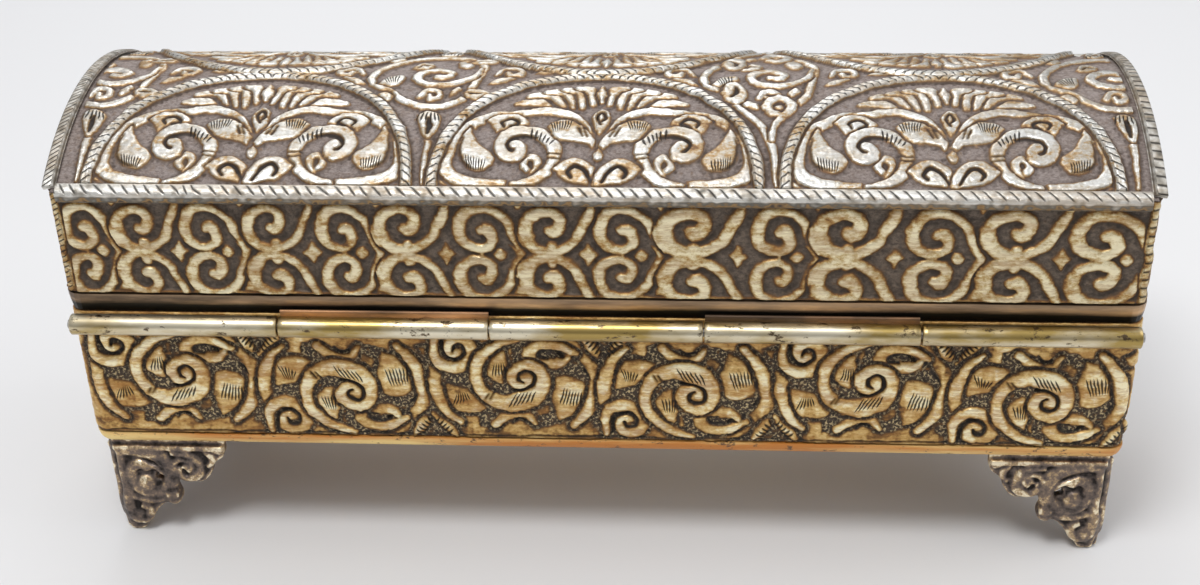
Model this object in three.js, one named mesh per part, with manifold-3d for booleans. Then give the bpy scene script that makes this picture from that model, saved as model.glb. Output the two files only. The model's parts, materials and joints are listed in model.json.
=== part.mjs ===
// A small domed casket of embossed sheet metal: a four-sided body on four cast scroll feet, and a
// vaulted lid that turns on a five-knuckle tube hinge along the back.
// Millimetres, +Z up. X runs along the casket, the front faces -Y and the hinge is at +Y.
// The origin is on the ground, at the middle of the object's outer box.

import * as THREE from "three";
import { mergeVertices } from "three/addons/utils/BufferGeometryUtils.js";
import Module from "manifold-3d";

const wasm = await Module();
wasm.setup();

// Driving dimensions
const sheet = 1.2; // thickness of the embossed panels
const cornerRadius = 3.6; // outside radius of the upright corners
const closedGap = 0.3; // between the body's rim and the closed lid
const solderGap = 0.3; // left between pieces that are soldered together

const footHeight = 26.8;
const bodyLength = 239.0;
const bodyDepth = 72.8;
const bodyHeight = 36.9;
const baseThickness = 1.2;
const baseLift = 3.2; // from the body's lower edge up to the base plate
const rollHeight = 3.4; // the plain edge that turns under along the body's foot
const rollInset = 2.6; // how far it draws in at the bottom

const lidEndProud = 0.2; // how far the lid stands out beyond the body at each end
const lidFaceProud = 0.8; // and beyond its front and back
const lidBandHeight = 30.2; // from the lid's lower edge to the eave
const vaultRise = 11.5; // from the eave to the ridge
const coveHeight = 4.4; // plain cove along the lid's lower edge
const coveInset = 0.6; // how far that cove draws in at its foot

const beadRadius = 2.1; // bead along the eaves
const beadDrop = 0.45; // from the eave down to the middle of that bead
const archBeadWidth = 3.2; // hatched edging round the vault's two ends
const archBeadHeight = 0.5;
const archBeadOverhang = 0.3;
const archBeadTurn = 0.8; // how far the edging turns down over the end
const ringWidth = 2.3; // roped rings of the medallions
const ringHeight = 0.95;
const ringOuterRadius = 36.2;
const ringCount = 3;
const ringMargin = 7.9; // from an outer ring to the lid's end
const embossHeight = 0.5; // the main ridges of the embossing, above the panels' faces
const roundelCount = 6; // wheels of scrolls along each long side of the body
const roundelPitch = 39.1;
const roundelShift = 2.6; // of the whole row, along its panel
const roundelHeight = 14.3; // from the body panels' lower edge to the middle of the row
const roundelSway = 2.1; // an upright one lies this far lower, and one turned over this far higher

const lipThickness = 0.8; // inner lip that the lid closes over
const lipRise = 2.4; // above the body's rim
const lipDrop = 6; // below the body's rim

const knuckleCount = 5;
const knuckleRadius = 2.4;
const pinRadius = 1.05;
const pinClearance = 0.08; // running fit of the pin in the knuckles
const pinOverhang = 0.5;
const knuckleGap = 0.35; // between neighbouring knuckles
const hingeMargin = 1.2; // from the hinge's ends to the body's ends
const leafThickness = 0.7;
const bodyLeafReach = 4; // how far a leaf runs from the hinge line down the body
const lidLeafReach = 3.4; // and up the lid
const hingeDrop = 2.1; // from the lid's lower edge down to the hinge line

const footWidth = 27.6;
const footPlate = 2.2;
const footRelief = 1.0; // how far the scrolls stand proud of a foot's plate
const footInset = 1.3; // from the body's faces to the outermost points of a foot's scrolls
const toePad = 3.2; // width of the flat that a toe stands on
const toeSpare = 0.6; // metal below the ground line, filed off flat

const tabWidth = 13;
const tabHeight = 6.5;
const tabReach = 3.2;

// Sizes worked out from them
const rimZ = footHeight + bodyHeight;
const lidBottom = rimZ + closedGap;
const eaveZ = lidBottom + lidBandHeight;
const halfBody = { x: bodyLength / 2, y: bodyDepth / 2 };
const halfLid = { x: halfBody.x + lidEndProud, y: halfBody.y + lidFaceProud };
const vaultRadius = (halfLid.y ** 2 + vaultRise ** 2) / (2 * vaultRise);
const vaultAngle = Math.asin(halfLid.y / vaultRadius);
const vaultArc = vaultRadius * vaultAngle; // from an eave to the ridge, over the surface
const beadOverlap = solderGap + beadDrop * Math.cos(vaultAngle);
const beadReach = Math.sqrt(beadRadius ** 2 - beadOverlap ** 2) - beadDrop * Math.sin(vaultAngle) + 0.1;
const ringPitch = (2 * (halfLid.x - ringMargin - ringOuterRadius)) / (ringCount - 1);
const knuckleBore = pinRadius + pinClearance;
const hingeLength = bodyLength - 2 * hingeMargin;
const knuckleLength = hingeLength / knuckleCount;
const hingeY = halfLid.y + knuckleRadius - 0.1;
const hingeZ = lidBottom - hingeDrop;
const seam = sheet + solderGap; // what stands inside a panel starts this far in
const sunk = 0.3; // how deep a ridge is rooted in the metal under it
const embossProfile = [
  [-1, -sunk],
  [0, embossHeight],
  [1, -sunk],
];

// Solids and meshes
function bareMesh(geometry) {
  const bare = geometry.clone();
  bare.deleteAttribute("normal");
  bare.deleteAttribute("uv");
  return mergeVertices(bare, 1e-4);
}

function solidOf(geometry) {
  const g = bareMesh(geometry);
  return new wasm.Manifold(
    new wasm.Mesh({
      numProp: 3,
      vertProperties: Float32Array.from(g.attributes.position.array),
      triVerts: Uint32Array.from(g.index.array),
    }),
  );
}

function geometryOf(solid) {
  const mesh = solid.getMesh();
  return meshGeometry(Array.from(mesh.vertProperties), Array.from(mesh.triVerts));
}

function meshGeometry(positions, index) {
  const g = new THREE.BufferGeometry();
  g.setAttribute("position", new THREE.BufferAttribute(new Float32Array(positions), 3));
  g.setIndex(index);
  g.computeVertexNormals();
  return g;
}

function joined(geometries) {
  return geometries.map(solidOf).reduce((a, b) => a.add(b));
}

function join(geometries, tolerance = 0) {
  const solid = joined(geometries);
  return geometryOf(tolerance > 0 ? solid.simplify(tolerance) : solid);
}

function cut(geometry, tools) {
  return geometryOf(tools.map(solidOf).reduce((a, b) => a.subtract(b), solidOf(geometry)));
}

function reversed(index) {
  const turned = Array.from(index);
  for (let i = 0; i < turned.length; i += 3) [turned[i + 1], turned[i + 2]] = [turned[i + 2], turned[i + 1]];
  return turned;
}

// A closed mesh with its faces turned to point out.
function outward(geometry) {
  const g = bareMesh(geometry);
  const p = g.attributes.position;
  const order = g.index.array;
  const [a, b, c] = [new THREE.Vector3(), new THREE.Vector3(), new THREE.Vector3()];
  let volume = 0;
  for (let i = 0; i < order.length; i += 3) {
    a.fromBufferAttribute(p, order[i]);
    b.fromBufferAttribute(p, order[i + 1]);
    c.fromBufferAttribute(p, order[i + 2]);
    volume += a.dot(b.cross(c));
  }
  return meshGeometry(Array.from(p.array), volume < 0 ? reversed(order) : Array.from(order));
}

// A closed body through a row of cross-sections that all have the same number of corners.
function loft(sections, closedPath = false) {
  const n = sections[0].length;
  const m = sections.length;
  const index = [];
  for (let i = 0; i < (closedPath ? m : m - 1); i++)
    for (let j = 0; j < n; j++) {
      const a = i * n + j;
      const b = i * n + ((j + 1) % n);
      const c = ((i + 1) % m) * n + j;
      const d = ((i + 1) % m) * n + ((j + 1) % n);
      index.push(a, b, c, b, d, c);
    }
  if (!closedPath)
    for (let j = 1; j < n - 1; j++) {
      index.push(0, j + 1, j);
      index.push((m - 1) * n, (m - 1) * n + j, (m - 1) * n + j + 1);
    }
  return outward(meshGeometry(sections.flat(2), index));
}

function block(x, y, z) {
  return new THREE.BoxGeometry(x, y, z);
}

function arcPoints(cx, cy, r, from, to, steps) {
  return Array.from({ length: steps + 1 }, (_, i) => {
    const t = from + ((to - from) * i) / steps;
    return [cx + r * Math.cos(t), cy + r * Math.sin(t)];
  });
}

function outline(points) {
  return new THREE.Shape(points.map(([u, v]) => new THREE.Vector2(u, v)));
}

function extrude(shape, depth, curveSegments = 3) {
  return new THREE.ExtrudeGeometry(shape, { depth, bevelEnabled: false, curveSegments });
}

// A (y, z) outline extruded along X and centred on it.
function extrudeAlongX(points, length) {
  return loft([-length / 2, length / 2].map((x) => points.map(([y, z]) => [x, y, z])));
}

// A frame with rounded corners, swept from an (outward, up) profile round a rectangle.
function roundedFrame(half, radius, profile, cornerSteps = 4) {
  const sections = [];
  for (let quarter = 0; quarter < 4; quarter++)
    for (let i = 0; i <= cornerSteps; i++) {
      const t = (Math.PI / 2) * (quarter + i / cornerSteps);
      const cx = (half.x - radius) * (quarter === 0 || quarter === 3 ? 1 : -1);
      const cy = (half.y - radius) * (quarter < 2 ? 1 : -1);
      sections.push(
        profile.map(([out, up]) => [
          cx + (radius + out) * Math.cos(t),
          cy + (radius + out) * Math.sin(t),
          up,
        ]),
      );
    }
  return loft(sections, true);
}

const silver = new THREE.MeshStandardMaterial({ color: 0xcfc9b8, roughness: 0.34, metalness: 0.95 });
const gilt = new THREE.MeshStandardMaterial({ color: 0xc6b184, roughness: 0.38, metalness: 0.95 });
const castBrass = new THREE.MeshStandardMaterial({ color: 0x6f6049, roughness: 0.5, metalness: 0.9 });
const steel = new THREE.MeshStandardMaterial({ color: 0x8f8b82, roughness: 0.4, metalness: 1.0 });

function piece(name, geometry, material, x = 0, y = 0, z = 0) {
  const mesh = new THREE.Mesh(geometry, material);
  mesh.name = name;
  mesh.position.set(x, y, z);
  return mesh;
}

// Long panels, whose ends wrap round the upright corners
function wrappedSheet(half, side, height) {
  const steps = 5;
  const path = (r) => [
    ...arcPoints(-(half.x - cornerRadius), half.y - cornerRadius, r, Math.PI, Math.PI / 2, steps),
    ...arcPoints(half.x - cornerRadius, half.y - cornerRadius, r, Math.PI / 2, 0, steps),
  ];
  const outer = path(cornerRadius);
  const inner = path(cornerRadius - sheet);
  const sections = outer.map(([x, y], i) => [
    [x, side * y, 0],
    [inner[i][0], side * inner[i][1], 0],
    [inner[i][0], side * inner[i][1], height],
    [x, side * y, height],
  ]);
  return loft(sections);
}

// The main ridges of a roundel, in millimetres from its middle: a stem that curls in, and the
// ring round its right side
const roundelStem = [
  [-0.6, -11.2],
  [-7.4, -8.2],
  [-11.0, -2.6],
  [-10.2, 3.2],
  [-5.6, 6.4],
  [0.2, 5.4],
  [3.2, 1.6],
  [2.4, -2.3],
];
const roundelRing = [
  [10.6, 11.0],
  [15.2, 5.6],
  [16.1, -1.2],
  [12.4, -8.2],
  [5.0, -11.4],
];

// Roundels along a long side, every other one upside down
function roundels(side) {
  const ridges = [];
  for (let k = 0; k < roundelCount; k++) {
    const middle = (k - (roundelCount - 1) / 2) * roundelPitch + roundelShift;
    const flip = k % 2 === 0 ? -1 : 1;
    const place = (u, v, lift) => [
      -side * (middle + u),
      side * (halfBody.y + lift),
      roundelHeight + flip * (v - roundelSway),
    ];
    ridges.push(ridge(roundelStem, (t) => 2.4 + 2.4 * Math.sin(Math.PI * t ** 1.5), embossProfile, place));
    if (k < roundelCount - 1)
      ridges.push(ridge(roundelRing, (t) => 2.2 + Math.sin(Math.PI * t), embossProfile, place));
  }
  return ridges;
}

// The room that the hinge's leaves take on the back panel, from whose lower edge it is measured
function leafRoom(height) {
  const low = height + hingeZ - rimZ - bodyLeafReach - solderGap;
  return solidOf(block(bodyLength, 4, height).translate(0, halfBody.y + 2, low + height / 2));
}

function bodyLongPanel(name, side) {
  const height = bodyHeight - rollHeight - solderGap;
  const solid = joined([wrappedSheet(halfBody, side, height), ...roundels(side)]);
  const clear = side > 0 ? solid.subtract(leafRoom(height)) : solid;
  return piece(name, geometryOf(clear.simplify(0.03)), gilt, 0, 0, rimZ - height);
}

function bodyEndPanel(name, side) {
  const width = 2 * (halfBody.y - cornerRadius - solderGap);
  const height = bodyHeight - rollHeight - solderGap;
  const x = side * (halfBody.x - sheet / 2);
  return piece(name, block(sheet, width, height), gilt, x, 0, rimZ - height / 2);
}

// The plain edge along the body's foot, rolled under all round
function bodyRoll() {
  const steps = 6;
  const curve = (out, up, across, rise) =>
    Array.from({ length: steps + 1 }, (_, i) => {
      const t = (Math.PI / 2) * (i / steps);
      return [out - across * (1 - Math.sin(t)), up + rise * (1 - Math.cos(t))];
    });
  const outer = curve(0, 0, rollInset, rollHeight);
  const inner = outer.map(([out, up]) => [out - sheet, up]).reverse();
  const frame = roundedFrame(halfBody, cornerRadius, [...outer, ...inner]);
  return piece("body_roll", frame, gilt, 0, 0, footHeight);
}

function basePlate() {
  const inset = 2 * (seam + 0.1);
  const half = { x: halfBody.x - inset / 2, y: halfBody.y - inset / 2 };
  const r = cornerRadius - seam;
  const corners = [
    ...arcPoints(half.x - r, half.y - r, r, 0, Math.PI / 2, 4),
    ...arcPoints(-half.x + r, half.y - r, r, Math.PI / 2, Math.PI, 4),
    ...arcPoints(-half.x + r, -half.y + r, r, Math.PI, 1.5 * Math.PI, 4),
    ...arcPoints(half.x - r, -half.y + r, r, 1.5 * Math.PI, 2 * Math.PI, 4),
  ];
  return piece("base_plate", extrude(outline(corners), baseThickness), gilt, 0, 0, footHeight + baseLift);
}

// The inner lip: a thin strip inside the panels that rises above the rim, for the lid to close over
function innerLip() {
  const profile = [
    [-seam - lipThickness, -lipDrop],
    [-seam, -lipDrop],
    [-seam, lipRise - lipThickness / 2],
    [-seam - lipThickness / 2, lipRise],
    [-seam - lipThickness, lipRise - lipThickness / 2],
  ];
  return piece("inner_lip", roundedFrame(halfBody, cornerRadius, profile), silver, 0, 0, rimZ);
}

// The feet. A wing is drawn square on: u runs inward from the corner, v down from the body.
const bigScroll = { u: 7.9, v: -11.8, radius: 4.6 };
const smallScroll = { u: 18.9, v: -8.5, radius: 2.9 };
const sideBall = { u: 13.3, v: -16.8, radius: 2.1 };
const edgeHole = { u: 15.7, v: -5.0, radius: 0.7 };
const toe = { u: 3.4, v: -23.4, radius: 3.0 };

function wingOutline() {
  const scallops = [
    [footWidth, -3.2],
    [26.6, -5.4],
    [24.6, -6.6],
    [23.6, -9.6],
    [21.3, -12.2],
    [18.4, -12.3],
    [15.1, -10.6],
    [14.6, -13.2],
    [15.5, -16.6],
    [14.0, -18.7],
    [11.2, -18.8],
    [9.2, -20.4],
    [7.0, -23.4],
    [4.2, -footHeight - toeSpare],
  ].map(([u, v]) => new THREE.Vector2(u, v));
  const cornerSide = [
    [1.4, -footHeight - toeSpare],
    [0.6, -22.4],
    [0.5, -17.6],
    [1.4, -14.4],
    [0.9, -10.0],
    [1.0, -5.6],
    [0.5, -2.8],
  ].map(([u, v]) => new THREE.Vector2(u, v));
  const s = new THREE.Shape();
  s.moveTo(0.4, 0);
  s.lineTo(footWidth, 0);
  s.lineTo(scallops[0].x, scallops[0].y);
  s.splineThru(scallops.slice(1));
  s.lineTo(cornerSide[0].x, cornerSide[0].y);
  s.splineThru(cornerSide.slice(1));
  s.lineTo(0.4, 0);
  return s;
}

// A low ridge along a path, laid on a surface by place(u, v, lift). Its profile is a row of
// (across, lift) points, with across in parts of the half width.
function ridge(path, width, profile, place) {
  const n = path.length;
  const sections = path.map(([u, v], i) => {
    const [u0, v0] = path[Math.max(0, i - 1)];
    const [u1, v1] = path[Math.min(n - 1, i + 1)];
    const length = Math.hypot(u1 - u0, v1 - v0);
    const half = width(i / (n - 1)) / 2;
    const [nu, nv] = [(-half * (v1 - v0)) / length, (half * (u1 - u0)) / length];
    return profile.map(([across, lift]) => place(u + nu * across, v + nv * across, lift));
  });
  return loft(sections);
}

function spiralPath(scroll, from, turns, shrink, steps) {
  return Array.from({ length: steps + 1 }, (_, i) => {
    const t = i / steps;
    const a = from + 2 * Math.PI * turns * t;
    const r = scroll.radius * (1 - shrink * t);
    return [scroll.u + r * Math.cos(a), scroll.v + r * Math.sin(a)];
  });
}

function boss(u, v, radius, height, z) {
  return new THREE.SphereGeometry(radius, 8, 6).scale(1, 1, height / radius).translate(u, v, z);
}

function roundHole(u, v, radius) {
  const g = new THREE.CylinderGeometry(radius, radius, 6 * footPlate, 7);
  return g.rotateX(Math.PI / 2).translate(u, v, 0);
}

function railBlock(from, to, top, bottom, depth) {
  const g = block(to - from, top - bottom, depth);
  return g.translate((from + to) / 2, (top + bottom) / 2, depth / 2);
}

function footWing() {
  const face = footPlate;
  const taper = (w, end) => (t) => w * (1 - (1 - end) * t);
  const onFace = (u, v, lift) => [u, v, face + lift];
  const profile = [
    [-1, -sunk],
    [-0.45, footRelief],
    [0.45, footRelief],
    [1, -sunk],
  ];
  const solid = joined([
    extrude(wingOutline(), face, 2),
    ridge(spiralPath(bigScroll, 0.16 * Math.PI, 0.9, 0.12, 12), taper(1.7, 0.8), profile, onFace),
    ridge(spiralPath(smallScroll, 0.9 * Math.PI, 0.86, 0.05, 9), taper(1.5, 0.8), profile, onFace),
    boss(bigScroll.u - 0.5, bigScroll.v - 0.9, 2.7, footRelief + 0.7, face),
    boss(sideBall.u, sideBall.v, sideBall.radius, footRelief + 0.5, face),
    boss(toe.u + 0.4, toe.v + 0.8, toe.radius * 0.8, footRelief + 0.3, face),
    railBlock(0.6, footWidth - 0.4, -1.5, -2.8, face + footRelief),
  ]);
  const holes = joined([
    roundHole(bigScroll.u + 3.0, bigScroll.v + 1.2, 1.2),
    roundHole(smallScroll.u, smallScroll.v, 1.1),
    roundHole(edgeHole.u, edgeHole.v, edgeHole.radius),
  ]);
  return solid.subtract(holes).simplify(0.06);
}

// Two wings at a right angle meet at the corner over a rounded toe with a flat underside.
function footSolid() {
  const depth = footPlate + footRelief;
  const alongX = footWing().rotate([90, 0, 0]).translate([footRelief, depth, 0]);
  const alongY = alongX.rotate([0, 0, 90]).scale([-1, 1, 1]);
  const padHeight = 5.2;
  const pad = new THREE.CylinderGeometry(toe.radius, toePad / 2, padHeight, 10).rotateX(Math.PI / 2);
  pad.translate(toe.u + footRelief, toe.u + footRelief, padHeight / 2 - footHeight - toeSpare);
  const belowGround = block(4 * footWidth, 4 * footWidth, footHeight).translate(0, 0, -1.5 * footHeight);
  return alongX.add(alongY).add(solidOf(pad)).subtract(solidOf(belowGround)).simplify(0.06);
}

function feet() {
  const corner = footSolid();
  const places = [
    ["foot_front_left", -1, -1],
    ["foot_front_right", 1, -1],
    ["foot_back_left", -1, 1],
    ["foot_back_right", 1, 1],
  ];
  return places.map(([name, sx, sy]) =>
    piece(
      name,
      geometryOf(corner.scale([-sx, -sy, 1])),
      castBrass,
      sx * (halfBody.x - footInset),
      sy * (halfBody.y - footInset),
      footHeight,
    ),
  );
}

// The hinge: rolled knuckles round the pin, each with a flat leaf soldered to the body or the lid
function knuckle(index) {
  const length = knuckleLength - knuckleGap;
  const x = -hingeLength / 2 + knuckleLength * (index + 0.5);
  const onBody = index % 2 === 0;
  const tube = new THREE.CylinderGeometry(knuckleRadius, knuckleRadius, length, 24).rotateZ(Math.PI / 2);
  const bore = new THREE.CylinderGeometry(knuckleBore, knuckleBore, length * 2, 20).rotateZ(Math.PI / 2);
  const faceY = (onBody ? halfBody.y : halfLid.y) + solderGap - hingeY; // where the leaf lies
  const leafReach = onBody ? bodyLeafReach : lidLeafReach;
  const rise = leafReach * (onBody ? -1 : 1);
  const leaf = block(length, leafThickness, leafReach).translate(0, faceY + leafThickness / 2, rise / 2);
  const parts = [tube, leaf];
  const bridge = knuckleRadius * 0.8 + (-knuckleRadius - faceY);
  if (onBody) parts.push(block(length, bridge, leafThickness).translate(0, faceY + bridge / 2, -leafThickness / 2));
  const g = cut(join(parts), [bore]);
  return piece((onBody ? "body_knuckle_" : "lid_knuckle_") + (index + 1), g, gilt, x, hingeY, hingeZ);
}

function hingePin() {
  const length = hingeLength + 2 * pinOverhang;
  const g = new THREE.CylinderGeometry(pinRadius, pinRadius, length, 20).rotateZ(Math.PI / 2);
  return piece("hinge_pin", g, steel, 0, hingeY, hingeZ);
}

// The vault. s runs over its surface from the back eave; lift is measured off the surface.
function vaultPoint(s, lift = 0) {
  const t = vaultAngle - s / vaultRadius;
  const r = vaultRadius + lift;
  return [r * Math.sin(t), r * Math.cos(t) - vaultRadius * Math.cos(vaultAngle)];
}

function vaultArch(from, lift, steps) {
  return Array.from({ length: steps + 1 }, (_, i) => vaultPoint(from + (2 * (vaultArc - from) * i) / steps, lift));
}

// Half a ring laid on the vault, its centre on the eave side
function vaultRing(x, side) {
  const steps = 18;
  const centre = vaultArc - ringOuterRadius;
  const mid = ringOuterRadius - ringWidth / 2;
  const start = Math.asin((beadReach + solderGap - centre) / mid);
  const path = Array.from({ length: steps + 1 }, (_, i) => {
    const a = start + ((Math.PI - 2 * start) * i) / steps;
    return [mid * Math.cos(a), centre + mid * Math.sin(a)];
  });
  const profile = [
    [-1, -sunk],
    [-0.52, ringHeight],
    [0.52, ringHeight],
    [1, -sunk],
  ];
  return ridge(path, () => ringWidth, profile, onVault(x, side));
}

// Lays (u, s) on the vault, u from the given x and s from the back or front eave.
function onVault(x, side) {
  return (u, s, lift) => {
    const [y, z] = vaultPoint(s, lift);
    return [x + u, side * y, z];
  };
}

// The main ridges of a medallion's left half, u from its axis and s from the eave: the long scroll
// that follows the ring, the scroll inside it, and the leaf beside the axis
const longScroll = [
  [-0.9, 12.8],
  [-3.6, 19.6],
  [-9.2, 23.9],
  [-16.6, 24.0],
  [-24.0, 20.8],
  [-29.4, 16.2],
  [-31.4, 10.4],
  [-29.6, 5.2],
  [-24.0, 3.2],
  [-18.4, 3.2],
];
const innerScroll = [
  [-14.4, 3.6],
  [-11.0, 5.4],
  [-9.5, 10.0],
  [-11.4, 14.8],
  [-16.0, 16.5],
  [-19.8, 13.6],
  [-18.2, 10.3],
];
const axisLeaf = [
  [-11.0, 18.2],
  [-7.6, 18.2],
  [-4.6, 16.8],
  [-2.6, 14.6],
];

function medallionRidges(x, side) {
  const swell = (thin, thick) => (t) => thin + (thick - thin) * Math.sin(Math.PI * t);
  return [1, -1].flatMap((flip) => {
    const place = (u, s, lift) => onVault(x, side)(flip * u, s, lift);
    return [
      ridge(longScroll, swell(1.8, 3.0), embossProfile, place),
      ridge(innerScroll, swell(1.6, 2.8), embossProfile, place),
      ridge(axisLeaf, swell(1.6, 4.2), embossProfile, place),
    ];
  });
}

function lidVault() {
  const steps = 14;
  const start = sheet;
  const edge = vaultAngle - start / vaultRadius;
  const innerEdge = Math.acos((vaultRadius * Math.cos(edge)) / (vaultRadius - sheet));
  const outer = vaultArch(start, 0, steps);
  const inner = vaultArch((vaultAngle - innerEdge) * vaultRadius, -sheet, steps).reverse();
  const parts = [extrudeAlongX([...outer, ...inner], 2 * (halfLid.x - seam))];
  for (let k = 0; k < ringCount; k++) {
    const x = (k - (ringCount - 1) / 2) * ringPitch;
    for (const side of [1, -1]) parts.push(vaultRing(x, side), ...medallionRidges(x, side));
  }
  return piece("lid_vault", join(parts, 0.04), silver, 0, 0, eaveZ);
}

function lidBand(name, side) {
  const height = lidBandHeight - coveHeight - 2 * solderGap;
  return piece(name, wrappedSheet(halfLid, side, height), gilt, 0, 0, eaveZ - solderGap - height);
}

// An end panel: it stands between the wrapped corners, and its arched head closes the vault.
function lidEnd(name, side) {
  const foot = coveHeight + solderGap - lidBandHeight;
  const narrow = halfLid.y - cornerRadius - solderGap;
  const wide = halfLid.y - solderGap;
  const headLift = -archBeadTurn - solderGap;
  const headRadius = vaultRadius + headLift;
  const eaveDepth = vaultRadius * Math.cos(vaultAngle); // from the vault's axis up to the eave
  const reach = Math.min(wide, Math.sqrt(headRadius ** 2 - eaveDepth ** 2) - 0.1);
  const start = vaultArc - vaultRadius * Math.asin(reach / headRadius);
  const steps = 24;
  const head = Array.from({ length: steps + 1 }, (_, i) =>
    vaultPoint(start + (2 * (vaultArc - start) * i) / steps, headLift),
  );
  const skirt = [
    [-reach, 0],
    [-narrow, 0],
    [-narrow, foot],
    [narrow, foot],
    [narrow, 0],
    [reach, 0],
  ];
  const shape = outline([...skirt, ...head]);
  const g = extrude(shape, sheet).translate(0, 0, -sheet / 2);
  const upright = new THREE.Matrix4().makeBasis(
    new THREE.Vector3(0, 1, 0),
    new THREE.Vector3(0, 0, 1),
    new THREE.Vector3(1, 0, 0),
  );
  return piece(name, outward(g.applyMatrix4(upright)), silver, side * (halfLid.x - sheet / 2), 0, eaveZ);
}

// The plain cove along the lid's lower edge
function lidCove() {
  const steps = 4;
  const face = Array.from({ length: steps + 1 }, (_, i) => {
    const t = i / steps;
    return [-coveInset * (1 - t) ** 1.6, coveHeight * t];
  });
  const profile = [[-seam, 0], ...face, [-seam, coveHeight]];
  return piece("lid_cove", roundedFrame(halfLid, cornerRadius, profile), silver, 0, 0, lidBottom);
}

// A round bead along a front or back eave, seated on the angle between band and vault
function eaveBead(name, side) {
  const from = Math.PI / 2 - vaultAngle + Math.acos(beadOverlap / beadRadius);
  const to = -Math.acos(solderGap / beadRadius);
  const seat = [solderGap, (solderGap * (1 - Math.sin(vaultAngle))) / Math.cos(vaultAngle)];
  const profile = [seat, ...arcPoints(0, -beadDrop, beadRadius, from, to, 10)].map(([y, z]) => [side * y, z]);
  const length = 2 * (halfLid.x + archBeadOverhang - archBeadWidth - solderGap);
  return piece(name, extrudeAlongX(profile, length), silver, 0, side * halfLid.y, eaveZ);
}

// The edging over the vault's end: it lies on the vault and turns down over the end panel.
function archBead(name, side) {
  const steps = 24;
  const outer = archBeadOverhang;
  const inner = outer - archBeadWidth;
  const top = solderGap + archBeadHeight;
  const inside = solderGap - seam; // clear of the vault sheet's end
  const profile = [
    [inner, solderGap],
    [inner + 0.5, top],
    [outer - 0.8, top],
    [outer, top - 0.8],
    [outer, -archBeadTurn],
    [inside, -archBeadTurn],
    [inside, solderGap],
  ];
  const sections = Array.from({ length: steps + 1 }, (_, i) => {
    const s = archBeadTurn + (2 * (vaultArc - archBeadTurn) * i) / steps;
    return profile.map(([x, lift]) => [side * x, ...vaultPoint(s, lift)]);
  });
  return piece(name, loft(sections), silver, side * halfLid.x, 0, eaveZ);
}

// A small shaped tab on the lid's front edge, to lift it by
function thumbTab() {
  const half = tabWidth / 2;
  const s = new THREE.Shape();
  s.moveTo(-half, tabHeight * 0.35);
  s.quadraticCurveTo(-half * 0.9, -tabHeight * 0.5, 0, -tabHeight * 0.55);
  s.quadraticCurveTo(half * 0.9, -tabHeight * 0.5, half, tabHeight * 0.35);
  s.quadraticCurveTo(half * 0.5, tabHeight * 0.5, 0, tabHeight * 0.45);
  s.quadraticCurveTo(-half * 0.5, tabHeight * 0.5, -half, tabHeight * 0.35);
  const g = extrude(s, tabReach, 6).rotateX(Math.PI / 2);
  return piece("thumb_tab", g, silver, 0, -halfLid.y - solderGap, lidBottom + coveHeight);
}

// The whole casket
const casket = new THREE.Group();
const body = new THREE.Group();
const lid = new THREE.Group();
body.add(
  basePlate(),
  bodyLongPanel("body_front_panel", -1),
  bodyLongPanel("body_back_panel", 1),
  bodyEndPanel("body_left_panel", -1),
  bodyEndPanel("body_right_panel", 1),
  bodyRoll(),
  innerLip(),
  ...feet(),
  hingePin(),
);
lid.add(
  lidVault(),
  lidBand("lid_front_band", -1),
  lidBand("lid_back_band", 1),
  lidEnd("lid_left_end", -1),
  lidEnd("lid_right_end", 1),
  lidCove(),
  eaveBead("eave_bead_front", -1),
  eaveBead("eave_bead_back", 1),
  archBead("arch_bead_left", -1),
  archBead("arch_bead_right", 1),
  thumbTab(),
);
for (let i = 0; i < knuckleCount; i++) (i % 2 === 0 ? body : lid).add(knuckle(i));
casket.add(body, lid);

const backReach = hingeY + knuckleRadius;
const frontReach = halfLid.y + solderGap + tabReach;
casket.position.y = (frontReach - backReach) / 2;

export default casket;
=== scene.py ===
"""An embossed metal casket with a vaulted lid, seen from its hinge side.

Lengths are in millimetres until a mesh is made. The box's sizes are read from the CAD nodes. The
ornament is drawn on flat height maps, which are then wrapped over the panels.
"""
import json
import math

import bpy
import numpy as np
from mathutils import Matrix, Vector


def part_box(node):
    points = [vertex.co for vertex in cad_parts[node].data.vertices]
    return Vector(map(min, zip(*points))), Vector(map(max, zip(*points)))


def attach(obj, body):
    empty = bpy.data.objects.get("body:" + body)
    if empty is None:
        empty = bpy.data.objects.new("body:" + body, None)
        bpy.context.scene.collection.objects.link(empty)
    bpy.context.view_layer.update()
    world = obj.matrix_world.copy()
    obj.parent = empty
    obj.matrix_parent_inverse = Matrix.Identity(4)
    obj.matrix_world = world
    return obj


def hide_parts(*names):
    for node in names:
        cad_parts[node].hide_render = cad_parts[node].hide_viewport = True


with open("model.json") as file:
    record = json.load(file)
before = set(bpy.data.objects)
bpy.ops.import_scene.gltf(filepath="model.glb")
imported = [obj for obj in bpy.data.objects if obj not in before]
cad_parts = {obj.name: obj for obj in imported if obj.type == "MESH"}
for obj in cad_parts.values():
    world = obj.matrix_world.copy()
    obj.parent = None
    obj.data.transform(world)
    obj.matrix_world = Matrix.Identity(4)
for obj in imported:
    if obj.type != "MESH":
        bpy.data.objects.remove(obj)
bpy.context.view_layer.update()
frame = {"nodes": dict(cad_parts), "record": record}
MM = 0.001
RNG = np.random.default_rng(11)


def span(node):
    """The lowest and highest corner of a CAD node, in millimetres."""
    low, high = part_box(node)
    return np.array(low) / MM, np.array(high) / MM


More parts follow.
